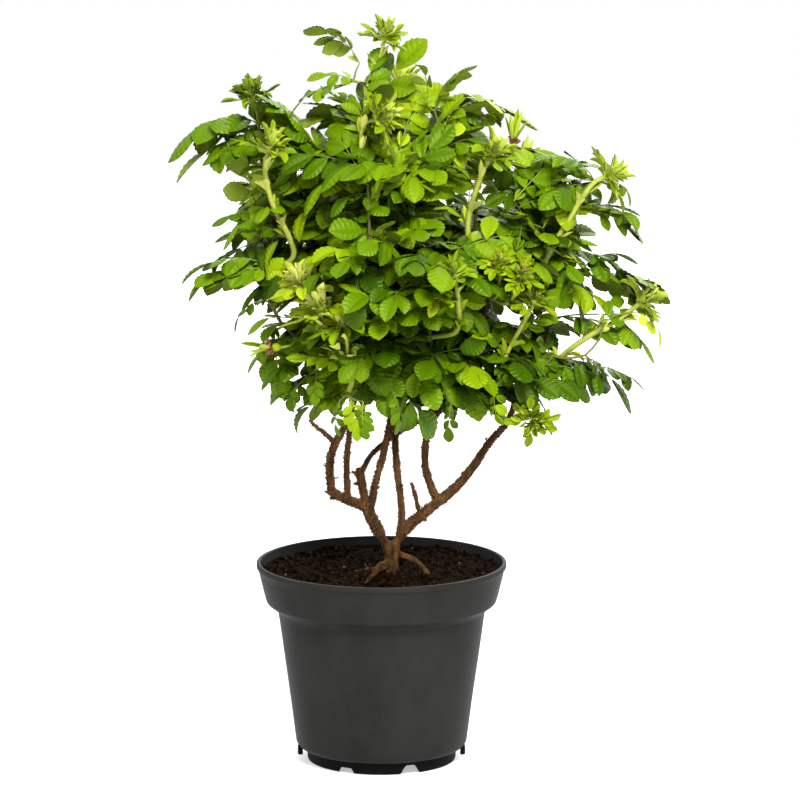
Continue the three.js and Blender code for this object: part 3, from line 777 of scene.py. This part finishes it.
def compound_leaf(leaves, twigs, rng, base, ahead, up, length, tone, family, pairs=3, spread=(50, 72),
                  arch=0.14, droop=(0.0, 0.5), share=0.62, leaflet=0.37, stalk_tone=2, stalk=0.75 * MM):
    """A leaf of several pairs of leaflets and one at its end."""
    ahead = unit(ahead)
    up = unit(up - ahead * np.dot(up, ahead))
    rachis = length * share
    line, heading = leaf_line(base, ahead, up, rachis, arch)
    radii = np.linspace(stalk, stalk * 0.5, len(line))
    points, faces = tube(line, radii, 4)
    twigs.add(points, faces, stalk_tone)
    slump = rng.uniform(*droop)
    first = rng.uniform(0.28, 0.4)
    for pair in range(pairs):
        t = first + (0.93 - first) * pair / max(1, pairs - 0.35)
        spot = t * (len(line) - 1)
        i = min(int(spot), len(line) - 2)
        place = line[i] + (line[i + 1] - line[i]) * (spot - i)
        forward = heading[i]
        normal = unit(up - forward * np.dot(up, forward))
        side = np.cross(normal, forward)
        for hand in (-1, 1):
            if rng.uniform() < 0.03:
                continue
            opening = math.radians(rng.uniform(*spread)) - 0.12 * pair
            out = math.cos(opening) * forward + hand * math.sin(opening) * side
            out = unit(out - normal * (slump * 0.5 + rng.normal(0, 0.1)))
            tilt = unit(normal + hand * side * slump * 0.8 + rng.normal(0, 0.13, 3))
            size = length * leaflet * rng.uniform(0.86, 1.08) * (0.84 + 0.08 * pair)
            shade = int(np.clip(tone + rng.choice((-1, 0, 0, 0, 1)), 0, len(LEAF_TONES) - 1))
            shape = family[rng.integers(len(family))]
            shape.place(leaves, place + out * 0.8 * MM, out, tilt, size, shade, rng.uniform(0.92, 1.08))
    forward = unit(heading[-1] + rng.normal(0, 0.06, 3))
    shape = family[rng.integers(len(family))]
    shape.place(leaves, line[-1], forward, up + rng.normal(0, 0.1, 3), length * leaflet * 1.12, tone)
    for hand in (-1, 1):
        side = np.cross(up, ahead)
        shape = BRACT[rng.integers(len(BRACT))]
        shape.place(leaves, base + ahead * 1.5 * MM, ahead + hand * side * 0.3, up + hand * side * 0.5,
                    length * 0.17, min(tone + 1, len(LEAF_TONES) - 1))


# --------------------------------------------------------- the crown: where the leaves are
CORNER_SPACING = 34 * MM  # the least room between two corners that a spray ends at


class Mass:
    """One CAD mass of foliage, as the room that leaves may take."""

    def __init__(self, name):
        mesh = NODES[name].data
        self.points = node_points(name)
        self.faces = [tuple(p.vertices) for p in mesh.polygons]
        self.tree = BVHTree.FromPolygons([Vector(p) for p in self.points], self.faces)
        self.low = self.points.min(axis=0)
        self.high = self.points.max(axis=0)

    def depth(self, point):
        """How far a point is inside the mass. Negative is outside."""
        spot, normal, _, distance = self.tree.find_nearest(Vector(point))
        inside = (Vector(point) - spot).dot(normal) < 0
        return distance if inside else -distance

    def tips(self):
        """The corners that stand out furthest, where the ends of sprays are."""
        reach = np.linalg.norm(self.points - (self.low + self.high) / 2, axis=1)
        found = []
        for i in np.argsort(-reach):
            near = [np.linalg.norm(self.points[i] - f) for f in found]
            apart = not near or min(near) > CORNER_SPACING
            if apart and reach[i] > 0.8 * reach.max():
                found.append(self.points[i])
        return found


masses = [Mass(name) for name in MASSES]
CROWN_HEART = np.array([18.0, 0.0, 430.0]) * MM


def crown_depth(point):
    """How far a point is inside the crown. Negative is outside."""
    best = -0.05
    for mass in masses:
        if np.all(point > mass.low - 0.03) and np.all(point < mass.high + 0.03):
            best = max(best, mass.depth(point))
    return best


# Leaves that stand out at the edges of the crown: the mass each is in, its base and its tip as
# shares of that mass's box, how far it arches, its tone and its pairs of leaflets.
OUTER_LEAVES = [
    ("foliage_top", (0.6, 0.5, 0.62), (0.05, 0.4, 0.94), 0.3, 5, 3),
    ("foliage_top", (0.45, 0.3, 0.3), (0.06, 0.2, 0.38), 0.2, 5, 2),
    ("foliage_top", (0.33, 0.3, 0.27), (-0.2, 0.2, 0.0), 0.2, 5, 3),
    ("foliage_left_tip", (1.4, 0.4, 0.8), (-0.14, 0.4, 0.62), 0.36, 4, 3),
    ("foliage_left_tip", (1.5, 0.2, 0.3), (0.5, 0.1, 0.2), 0.3, 4, 3),
    ("foliage_left_upper", (0.55, 0.4, 0.3), (0.06, 0.4, 0.08), 0.2, 3, 2),
    ("foliage_left_middle", (0.7, 0.4, 0.68), (0.0, 0.4, 0.54), 0.2, 4, 3),
    ("foliage_left_middle", (0.7, 0.3, 0.2), (0.38, 0.3, -0.12), 0.25, 2, 2),
    ("foliage_left_low", (0.6, 0.3, 0.65), (0.0, 0.3, 0.4), 0.25, 4, 3),
    ("foliage_left_low", (0.6, 0.4, 0.35), (0.36, 0.3, -0.08), 0.2, 2, 3),
    ("foliage_left_low", (0.8, 0.2, 0.45), (0.7, 0.05, 0.1), 0.2, 4, 3),
    ("foliage_upper_right", (0.1, 0.3, 0.55), (0.15, 0.2, 0.95), 0.1, 4, 2),
    ("foliage_upper_right", (0.25, 0.4, 0.7), (0.55, 0.3, 0.94), 0.25, 4, 3),
    ("foliage_right_upper", (0.66, 0.4, 0.5), (0.25, 0.3, 0.65), 0.3, 4, 3),
    ("foliage_right_upper", (0.7, 0.3, 0.35), (1.02, 0.3, 0.17), 0.3, 4, 2),
    ("foliage_right_upper", (0.64, 0.4, 0.07), (1.12, 0.4, -0.13), 0.35, 5, 3),
    ("foliage_right_tip", (0.0, 0.4, 0.52), (0.55, 0.4, 0.9), 0.3, 1, 2),
    ("foliage_right_tail", (0.36, 0.4, 0.5), (1.0, 0.4, 0.0), 0.12, 2, 3),
    ("foliage_right_outer", (0.17, 0.4, 0.08), (0.4, 0.4, -0.38), 0.2, 1, 2),
    ("foliage_right_outer", (0.74, 0.4, 0.62), (1.12, 0.3, 0.1), 0.35, 7, 2),
    ("foliage_right_low", (0.38, 0.3, 0.3), (0.33, 0.2, -0.05), 0.2, 5, 2),
    ("foliage_centre_low", (0.84, 0.3, 0.25), (0.8, 0.25, -0.1), 0.1, 2, 2),
    ("foliage_centre_low", (0.22, 0.2, 0.38), (0.3, 0.15, -0.08), 0.15, 6, 3),
    ("foliage_centre_low", (0.15, 0.3, 0.3), (0.12, 0.25, -0.06), 0.15, 3, 2),
    ("foliage_centre_low", (0.34, 0.2, 0.35), (0.3, 0.15, -0.08), 0.15, 4, 3),
    ("foliage_centre_low", (0.5, 0.25, 0.35), (0.54, 0.2, -0.04), 0.15, 3, 3),
    ("foliage_right_upper", (0.3, 0.6, 0.3), (-0.12, 0.3, 0.16), 0.15, 3, 3),
]

TIP_SPACING = 26 * MM
SEARCH_STEP = 9 * MM  # one place is tried for each cube of this side in a mass's box
LEAF_TRIES = 14
SHORTEST_LEAF = 58 * MM
LONGEST_LEAF = 96 * MM
LEAF_REACH = 20 * MM  # how far leaflets stand out from a leaf's middle
BASE_COVER = 12 * MM  # a base this deep in the crown is deep enough
MIDDLE_COVER = 9 * MM  # and so is a leaf's middle this deep
SIDE_ROOM = 5 * MM  # how far leaflets may stand outside the crown
OUTWARD_GAIN = 9 * MM  # how strongly a leaf prefers to grow outwards
FURTHEST_BASE = -9 * MM
LOWEST_SCORE = 2.5 * MM
OPEN_COST = 2 * MM  # how strongly each tested point of a leaf keeps out of the gaps between masses
LEAF_SHARES = (0.35, 0.7, 1.0)  # where along a leaf that is tested
OUTER_LIFT = 11 * MM  # how much higher an outer leaf aims, as its end droops
LONGEST_OUTER_LEAF = 124 * MM
REACHING = 1.12  # how much longer a leaf may get, to reach from its twig to its tip
LEVEL_BLADE = np.array([0.3, 0.7, 0.5])  # an outer leaf's blade lies more level than it faces outwards


def joined_masses():
    """One search tree of all the masses."""
    points, faces = [], []
    for mass in masses:
        faces += [tuple(corner + len(points) for corner in face) for face in mass.faces]
        points += [Vector(point) for point in mass.points]
    return BVHTree.FromPolygons(points, faces)


crown_tree = joined_masses()


def in_the_open(points):
    """How many points stand in a gap of the crown, where the camera's line of sight meets no mass."""
    eye = Vector(CAMERA_PLACE)
    return sum(crown_tree.ray_cast(eye, Vector(unit(point - CAMERA_PLACE)))[0] is None for point in points)


def leaf_tips(rng):
    """Where the leaves end: at the masses' own tips, and spread evenly through them."""
    found = [tip for mass in masses for tip in mass.tips()]
    kept = list(found)
    for mass in masses:
        size = mass.high - mass.low
        for _ in range(int(np.prod(size) / SEARCH_STEP ** 3)):
            point = mass.low + size * rng.uniform(size=3)
            if mass.depth(point) < 0:
                continue
            if np.min(np.linalg.norm(np.array(kept) - point, axis=1)) > TIP_SPACING:
                kept.append(point)
    return kept


def outward_from_heart(point):
    """Which way leaves grow at a point of the crown."""
    away = (point - CROWN_HEART) * [1, 1.15, 0.75]
    return unit(away)


def plan_leaves(rng):
    """Each leaf's base, direction and length, chosen so that it stays in the crown."""
    plans = []
    for mass, base, tip, arch, tone, pairs in OUTER_LEAVES:
        base, tip = within(mass, *base), within(mass, *tip) + UP * OUTER_LIFT
        length = float(np.linalg.norm(tip - base))
        out = unit(outward_from_heart(tip) * LEVEL_BLADE + UP)
        plans.append({"base": base, "ahead": unit(tip - base), "length": length, "out": out, "depth": 0,
                      "arch": arch, "tone": tone, "pairs": pairs})
    for tip in leaf_tips(rng):
        out = outward_from_heart(tip)
        best = None
        for _ in range(LEAF_TRIES):
            length = rng.uniform(SHORTEST_LEAF, LONGEST_LEAF)
            ahead = unit(out * [1, 1, 0.5] + rng.normal(0, 0.55, 3) * [1, 1, 0.6] + [0, 0, -0.02])
            base = tip - ahead * length
            half_way = tip - ahead * length * 0.5
            score = min(crown_depth(base), BASE_COVER) + 0.7 * min(crown_depth(half_way), MIDDLE_COVER)
            side = unit(np.cross(ahead, UP)) * LEAF_REACH
            middle = tip - ahead * length * 0.45
            for beside in (middle + side, middle - side):
                score += 0.5 * min(0, crown_depth(beside) + SIDE_ROOM)
            spread = [base + ahead * length * share + side * way
                      for share in LEAF_SHARES for way in (-1, 0, 1)]
            score -= OPEN_COST * in_the_open(spread)
            score += OUTWARD_GAIN * float(np.dot(ahead, out))
            if best is None or score > best[0]:
                best = (score, base, ahead, length)
        score, base, ahead, length = best
        if crown_depth(base) < FURTHEST_BASE or score < LOWEST_SCORE:
            continue
        plans.append({"base": base, "ahead": ahead, "length": length, "out": out, "depth": crown_depth(tip)})
    return plans


# ------------------------------------------------------------------ the crown: its twigs
TWIG_STEP = 8 * MM
MOST_STEPS = 140
REACH = 11 * MM  # a twig that comes this near a leaf's base carries it
THIN_TWIG = 0.75 * MM
GROWING_ENDS = ["bough_left_rise", "bristly_stem", "crossing_branch", "stem_left_inner", "stem_centre",
                "stem_right_upper", "bough_right_upright", "bough_right_inner", "bough_right_fork"]


def limb_end(name):
    """The middle of a limb's highest corners."""
    points = node_points(name)
    return points[points[:, 2] > points[:, 2].max() - 2 * MM].mean(axis=0)


class Twigs:
    """A branching line that grows from the limbs' ends towards the leaves' bases."""

    def __init__(self, goals):
        self.points = [limb_end(name) for name in GROWING_ENDS]
        self.parent = [-1] * len(self.points)
        self.goals = np.array(goals)
        self.carrier = np.full(len(goals), -1)
        self.grow()

    def grow(self):
        """Adds a step at a time towards the goals that are still out of reach."""
        goals, open_goals = self.goals, np.ones(len(self.goals), bool)
        gaps = np.linalg.norm(goals[:, None] - np.array(self.points)[None], axis=2)
        nearest, gap = gaps.argmin(axis=1), gaps.min(axis=1)
        for _ in range(MOST_STEPS):
            reached = open_goals & (gap < REACH)
            self.carrier[reached] = nearest[reached]
            open_goals &= ~reached
            if not open_goals.any():
                break
            fresh = []
            for node in np.unique(nearest[open_goals]):
                mine = np.flatnonzero(open_goals & (nearest == node))
                pull = goals[mine] - self.points[node]
                pull /= np.linalg.norm(pull, axis=1, keepdims=True)
                ahead = unit(pull.mean(axis=0) + 1e-4)
                if self.parent[node] >= 0:
                    ahead = unit(ahead + 0.45 * unit(self.points[node] - self.points[self.parent[node]]))
                point = self.points[node] + ahead * TWIG_STEP
                crowd = np.linalg.norm(np.array(self.points) - point, axis=1).min()
                if crowd < TWIG_STEP * 0.4:
                    target = mine[np.argmin(np.linalg.norm(goals[mine] - self.points[node], axis=1))]
                    point = self.points[node] + unit(goals[target] - self.points[node]) * TWIG_STEP
                fresh.append(len(self.points))
                self.points.append(point)
                self.parent.append(int(node))
            near = np.linalg.norm(goals[:, None] - np.array(self.points)[fresh][None], axis=2)
            better = near.min(axis=1) < gap
            nearest = np.where(better, np.array(fresh)[near.argmin(axis=1)], nearest)
            gap = np.minimum(gap, near.min(axis=1))
        left = open_goals & (self.carrier < 0)
        self.carrier[left] = nearest[left]

    def finish(self):
        """Smooths the lines and works out how thick each is from what it carries."""
        self.points = np.array(self.points)
        count = len(self.points)
        children = [[] for _ in range(count)]
        for i, parent in enumerate(self.parent):
            if parent >= 0:
                children[parent].append(i)
        for _ in range(3):
            moved = self.points.copy()
            for i in range(count):
                if self.parent[i] >= 0 and children[i]:
                    around = (self.points[self.parent[i]] + self.points[children[i]].mean(axis=0)) / 2
                    moved[i] = 0.5 * self.points[i] + 0.5 * around
            self.points = moved
        load = np.zeros(count)
        for carrier in self.carrier:
            load[carrier] += 1
        for i in range(count - 1, -1, -1):
            if self.parent[i] >= 0:
                load[self.parent[i]] += load[i]
        self.load = load
        self.radius = np.clip(THIN_TWIG * np.maximum(load, 1) ** 0.36, THIN_TWIG, 2.7 * MM)
        self.children = children

    def behind(self, point, ahead):
        """The nearest place on the twigs from which a stem reaches a point without turning back."""
        way = point - self.points
        gap = np.linalg.norm(way, axis=1) + 1e-6
        turn = way @ ahead / gap
        return self.points[np.argmin(gap + 60 * MM * np.maximum(0, 0.75 - turn) + 0.1 * (gap < 5 * MM))]

    def branches(self):
        """The lines from each fork outwards, each following its strongest child."""
        starts = [(i, None) for i in range(len(GROWING_ENDS))]
        while starts:
            node, origin = starts.pop()
            line = [node] if origin is None else [origin, node]
            while self.children[node]:
                order = sorted(self.children[node], key=lambda c: -self.load[c])
                starts += [(child, node) for child in order[1:]]
                node = order[0]
                line.append(node)
            yield line


# -------------------------------------------------------------- the crown: young shoots
# Each shoot: the mass it stands in, its line as shares of that mass's box, its thickness in
# millimetres, how big its tuft is, and how yellow.
SHOOTS = [
    ("foliage_top", [(0.57, 0.6, -0.1), (0.66, 0.55, 0.45), (0.74, 0.5, 0.84)], 1.9, 0.66, 8),
    ("foliage_centre_top", [(0.4, 0.35, 0.5), (0.41, 0.33, 0.9), (0.52, 0.3, 1.0)], 1.9, 0.85, 8),
    ("foliage_left_upper", [(0.84, 0.3, -0.2), (0.64, 0.14, 0.5), (0.58, 0.1, 0.95), (0.62, 0.1, 1.2)],
     2.6, 0.8, 8),
    ("foliage_upper_left", [(0.46, 0.4, 0.0), (0.41, 0.4, 0.5), (0.34, 0.4, 0.75)], 1.7, 0.75, 5),
    ("foliage_centre_front", [(0.3, 0.7, -0.15), (0.13, 0.62, 0.2), (0.06, 0.6, 0.42)], 2.3, 0.8, 9),
    ("foliage_centre_front", [(0.3, 0.7, -0.1), (0.2, 0.55, 0.1), (0.14, 0.52, 0.26)], 1.9, 0.95, 9),
    ("foliage_centre_front", [(0.3, 0.7, -0.1), (0.28, 0.55, 0.08), (0.26, 0.5, 0.2)], 1.7, 0.8, 8),
    ("foliage_upper_right", [(0.55, 0.2, -0.5), (0.67, 0.12, -0.05), (0.76, 0.1, 0.14)], 2.7, 0.75, 8),
    ("foliage_right_upper", [(0.28, 0.3, -0.4), (0.6, 0.2, 0.32), (0.76, 0.2, 0.48)], 2.8, 0.75, 8),
    ("foliage_right_outer", [(-0.3, 0.9, -0.7), (0.03, 0.6, -0.07), (0.29, 0.45, 0.27), (0.54, 0.4, 0.5),
                             (0.8, 0.4, 0.8)], 2.8, 0.75, 8),
    ("foliage_right_middle", [(0.1, 0.3, 0.1), (0.12, 0.08, 0.5)], 1.7, 0.5, 8),
    ("foliage_right_middle", [(0.2, 0.3, 0.0), (0.3, 0.05, 0.36)], 1.7, 0.6, 8),
    ("foliage_right_middle", [(0.14, 0.3, -0.7), (0.35, 0.16, -0.12), (0.41, 0.12, 0.05)], 2.0, 0.65, 7),
    ("foliage_centre_front", [(0.86, 0.8, 0.1), (0.86, 0.5, 0.36), (0.84, 0.42, 0.52)], 2.4, 0.6, 7),
    ("foliage_right_low", [(0.6, 0.5, 0.2), (0.66, 0.3, 0.1)], 1.5, 0.6, 6),
    ("foliage_back_top", [(0.4, 0.5, 0.2), (0.45, 0.6, 0.7), (0.5, 0.62, 0.9)], 2.2, 0.8, 8),
    ("foliage_back_left", [(0.4, 0.5, 0.3), (0.3, 0.7, 0.7), (0.28, 0.74, 0.85)], 2.2, 0.75, 8),
    ("foliage_back_right", [(0.5, 0.4, 0.3), (0.62, 0.65, 0.7), (0.66, 0.7, 0.85)], 2.4, 0.8, 8),
    ("foliage_back_low", [(0.5, 0.5, 0.4), (0.55, 0.72, 0.6)], 1.8, 0.7, 7),
]


# The rings of a tuft, from the middle outwards: how many leaves, how far they lean out in degrees,
# how long they are in millimetres, and their leaflets.
TUFT_RINGS = [(5, 14, 24, YOUNG_FOLDED), (5, 38, 32, YOUNG_FOLDED), (6, 72, 42, YOUNG_OPEN)]


def make_tuft(leaves, twigs, rng, place, ahead, size, tone):
    """Young leaves that unfold round the end of a shoot: folded in the middle, open outside."""
    side = unit(np.cross(ahead, [0.2, 0.9, 0.4]))
    other = np.cross(ahead, side)
    for ring, (count, opening, length, family) in enumerate(TUFT_RINGS):
        outer = ring == len(TUFT_RINGS) - 1
        spread = (30, 58) if outer else (18, 42)
        arch = 0.16 if outer else -0.08
        droop = (0.0, 0.5) if outer else (-0.5, 0.1)
        for i in range(count):
            turn = 2 * math.pi * (i + 0.37 * ring) / count + rng.normal(0, 0.25)
            out = math.cos(turn) * side + math.sin(turn) * other
            lean = math.radians(opening + rng.normal(0, 8))
            direction = math.cos(lean) * ahead + math.sin(lean) * out
            face = unit(ahead * math.sin(lean) - out * math.cos(lean))
            reach = length * size * MM * rng.uniform(0.85, 1.15)
            compound_leaf(leaves, twigs, rng, place - ahead * ring * 2.5 * MM, direction, face, reach,
                          max(min(tone, YOUNG - 1), tone - ring), family, pairs=2, spread=spread,
                          arch=arch, droop=droop, share=0.5, leaflet=0.52, stalk_tone=4, stalk=0.7 * MM)


def make_shoots(leaves, twigs, rng, net):
    """Thick pale bristly stems, with bracts and a few open leaves, that end in a tuft."""
    for mass, line, thickness, tuft, tone in SHOOTS:
        points = [within(mass, *share) for share in line]
        start = net.behind(points[0], unit(points[1] - points[0]))
        path = curve_through([start, *points], 4 * MM)
        radii = np.linspace(thickness, thickness * 0.8, len(path)) * MM
        twigs.add(*tube(path, radii, 9), 4 if tone > 6 else 3)
        ahead = unit(path[-1] - path[-4])
        whole = len(path)
        for _ in range(whole * 12):
            i = rng.integers(whole // 4, whole)
            out = unit(np.cross(rng.normal(size=3), path[i] - path[i - 1]))
            spot = path[i] + out * radii[i] * 0.9 + (path[i] - path[i - 1]) * rng.uniform(-0.5, 0.5)
            add_prickle(twigs, rng, spot, out, rng.uniform(0.9, 2.4) * MM, 0.24 * MM, rng.integers(3, 6))
        for k in range(3 + whole // 14):
            i = min(whole - 1, whole // 3 + int(k * 0.62 * whole / (3 + whole // 14)))
            heading = unit(path[min(i + 1, whole - 1)] - path[max(i - 1, 0)])
            turn = k * 2.4 + rng.normal(0, 0.3)
            side = unit(np.cross(heading, [0.3, 0.8, 0.5]))
            out = math.cos(turn) * side + math.sin(turn) * np.cross(heading, side)
            shape = BRACT[rng.integers(len(BRACT))]
            for hand in (-0.4, 0.4):
                beside = unit(out + hand * np.cross(heading, out))
                shape.place(leaves, path[i] + beside * radii[i] * 0.7, heading + beside * 0.55,
                            -beside + heading * 0.2, rng.uniform(13, 19) * MM, min(8, tone))
            tip = path[i] + unit(out + 0.5 * heading) * 60 * MM
            if crown_depth(tip) > -6 * MM and k < 3 + whole // 14 - 1:
                compound_leaf(leaves, twigs, rng, path[i], out + 0.6 * heading, heading + UP * 0.4,
                              rng.uniform(48, 68) * MM, rng.integers(4, 7), YOUNG_OPEN, pairs=3)
        make_tuft(leaves, twigs, rng, path[-1], ahead, tuft, tone)


# ------------------------------------------------------------------ the crown: spent buds
BUDS = [
    ("foliage_upper_right", (0.94, 0.2, 0.14), (0.12, -0.1, 1.0)),
    ("foliage_left_low", (0.4, 0.08, 0.66), (-0.8, -0.45, 0.1)),
    ("foliage_back_right", (0.6, 0.8, 0.9), (0.3, 0.7, 0.6)),
]


def make_buds(leaves, twigs, husks, rng, net):
    """Faded flowers: a small green hip, long narrow sepals and a few dry petals."""
    for mass, share, ahead in BUDS:
        place, ahead = within(mass, *share), unit(np.array(ahead))
        start = net.points[np.argmin(np.linalg.norm(net.points - place, axis=1))]
        stalk = curve_through([start, place - ahead * 9 * MM + UP * 2 * MM, place], 3 * MM)
        twigs.add(*tube(stalk, np.full(len(stalk), 0.9 * MM), 6), 4)
        side = unit(np.cross(ahead, [0.3, 0.9, 0.2]))
        other = np.cross(ahead, side)
        outline = [(0.6, 0), (2.6, 1.6), (3.7, 4), (3.3, 6.6), (2.2, 8.4), (2.4, 9.4)]
        points, faces = lathe(np.array(outline) * MM, 14)
        leaves.add(place + points @ np.stack([side, other, ahead]), faces, 7)
        top = place + ahead * 8.8 * MM
        for i in range(5):
            turn = i * 2 * math.pi / 5 + rng.normal(0, 0.2)
            out = math.cos(turn) * side + math.sin(turn) * other
            long_sepal = Leaflet(0.085, 0.7, 0.1, rng.uniform(-0.5, 0.4), 0, 0, 11, 6)
            long_sepal.place(leaves, top, ahead + out * rng.uniform(0.25, 0.7), ahead * 0.5 - out,
                             rng.uniform(22, 33) * MM, 7)
        for i in range(14):
            turn = rng.uniform(0, 2 * math.pi)
            out = math.cos(turn) * side + math.sin(turn) * other
            petal = leaflet_shape(7, 0.42, rng.uniform(-0.4, 1.2), rng.uniform(0, 1), rng.uniform(-1.4, 1.6),
                                  0.06, 0.2)
            x = unit(ahead + out * rng.uniform(0.0, 0.8))
            y = unit(np.cross(-out, x))
            turned = np.stack([x, y, np.cross(x, y)]) * rng.uniform(6, 10) * MM
            husks.add(top + petal @ turned, grid_faces(7, 5), i % 3)


# ------------------------------------------------------------------- the crown: put together
def make_crown():
    """Twigs, leaves, young shoots and spent buds in the place of the CAD masses."""
    rng = np.random.default_rng(77)
    plans = plan_leaves(rng)
    net = Twigs([plan["base"] for plan in plans])
    net.finish()
    leaves, twigs, husks = Batch(), Batch(), Batch()
    moods = rng.normal(0, 0.9, len(net.points))
    for line in net.branches():
        if len(line) < 2:
            continue
        radii = net.radius[line].copy()
        radii[-1] *= 0.5
        thick = radii[len(radii) // 2]
        shade = 0 if thick > 2.1 * MM else 1 if thick > 1.3 * MM else 2
        path = net.points[line]
        twigs.add(*tube(path, radii, 7 if thick > 1.4 * MM else 5), shade)
        for i in range(1, len(path)):
            for _ in range(7):
                t = rng.uniform()
                out = unit(np.cross(rng.normal(size=3), path[i] - path[i - 1]))
                spot = path[i - 1] + (path[i] - path[i - 1]) * t + out * radii[i] * 0.9
                add_prickle(twigs, rng, spot, out, rng.uniform(0.5, 1.6) * MM, 0.18 * MM, min(5, shade + 2))
    for plan, carrier in zip(plans, net.carrier):
        node = net.points[carrier]
        tip = plan["base"] + plan["ahead"] * plan["length"]
        ahead = tip - node
        longest = LONGEST_OUTER_LEAF if "tone" in plan else LONGEST_LEAF * REACHING
        length = float(np.clip(np.linalg.norm(ahead), SHORTEST_LEAF * 0.6, longest))
        out = plan["out"]
        up = unit(UP * 0.85 + out * rng.uniform(0.25, 0.95) + rng.normal(0, 0.28, 3))
        # Painted light and shade: a leaf's tone is lighter the higher its tip, lighter again near the crown's
        # surface, and lighter the more it faces up and to the front; its twig's mood and a random step add
        # variation of tone.
        height = (tip[2] - 0.4) / 0.25
        tone_with_painted_light = 2.5 + 1.5 * height + 1.1 * (plan["depth"] < 8 * MM)
        tone_with_painted_light += moods[carrier // 9] + rng.normal(0, 0.6)
        tone_with_painted_light += 0.5 * np.dot(out, [-0.3, -0.7, 0.6])
        tone = plan.get("tone", int(np.clip(round(tone_with_painted_light), 0, 6)))
        pairs = rng.choice((2, 3, 3, 3, 4)) if length > 66 * MM else rng.choice((2, 2, 3))
        compound_leaf(leaves, twigs, rng, node, ahead, up, length, tone, MATURE,
                      pairs=plan.get("pairs", pairs), arch=plan.get("arch", 0.14),
                      stalk_tone=2 if tone < 4 else 3)
    make_shoots(leaves, twigs, rng, net)
    make_buds(leaves, twigs, husks, rng, net)
    stem_tones = [(70, 54, 30), (92, 88, 40), (112, 122, 44), (140, 156, 48), (176, 188, 70), (196, 200, 110)]
    petal_tones = [(168, 112, 80), (206, 160, 138), (120, 78, 50)]
    leaves.build("leaves", leaf_materials, "leaves", MASSES, creased=len(LEAF_TONES))
    twigs.build("twigs", palette("twig_tone", stem_tones, LEAF_LEVEL, 0.6, 0.2), "green_stem")
    husks.build("dry_petals", palette("dry_petal", petal_tones, LEAF_LEVEL, 0.8, 0.1), "dead_wood")


# ----------------------------------------------------------------------------- the studio
FLOOR_COLOUR = (0.66, 0.66, 0.66)
FLOOR_GLOW = 0.45  # keeps the floor pale where the plant shades it
LIGHT_AIM = Vector((0.02, 0, 0.4))
# Each light's name, its place, how wide it is, and its power in watts.
STUDIO_LIGHTS = [
    ("key_light", (0.5, -1.75, 2.1), 0.8, 150),
    ("fill_light", (-1.7, -1.2, 1.1), 1.6, 10),
    ("back_light", (0.8, 2.2, 1.9), 2.4, 85),
]


def make_studio():
    """A pale floor, an even white world, soft lights and the camera."""
    world = bpy.data.worlds.new("studio")
    bpy.context.scene.world = world
    world.use_nodes = True
    background = world.node_tree.nodes["Background"]
    background.inputs["Color"].default_value = (1, 1, 1, 1)
    background.inputs["Strength"].default_value = 1.0
    bpy.ops.mesh.primitive_plane_add(size=8, location=(0, 0, -0.0005))
    floor = bpy.context.object
    floor.name = "floor"
    material, shader = principled("pale_floor", FLOOR_COLOUR, 0.9, 0.1)
    shader.inputs["Emission Color"].default_value = (1, 1, 1, 1)
    shader.inputs["Emission Strength"].default_value = FLOOR_GLOW
    floor.data.materials.append(material)
    for name, place, size, power in STUDIO_LIGHTS:
        light = bpy.data.lights.new(name, "AREA")
        light.size = size
        light.energy = power
        lamp = bpy.data.objects.new(name, light)
        lamp.location = place
        lamp.rotation_euler = (LIGHT_AIM - Vector(place)).to_track_quat("-Z", "Y").to_euler()
        bpy.context.scene.collection.objects.link(lamp)
    camera_data = bpy.data.cameras.new("camera")
    camera_data.lens = CAMERA_LENS
    camera_data.sensor_width = 36
    camera = bpy.data.objects.new("camera", camera_data)
    camera.location = CAMERA_PLACE
    camera.rotation_euler = (math.radians(90 - CAMERA_PITCH), 0, 0)
    bpy.context.scene.collection.objects.link(camera)
    bpy.context.scene.camera = camera
    bpy.context.scene.view_settings.view_transform = "Standard"


make_studio()
make_pot()
make_soil()
make_wood()
make_crown()
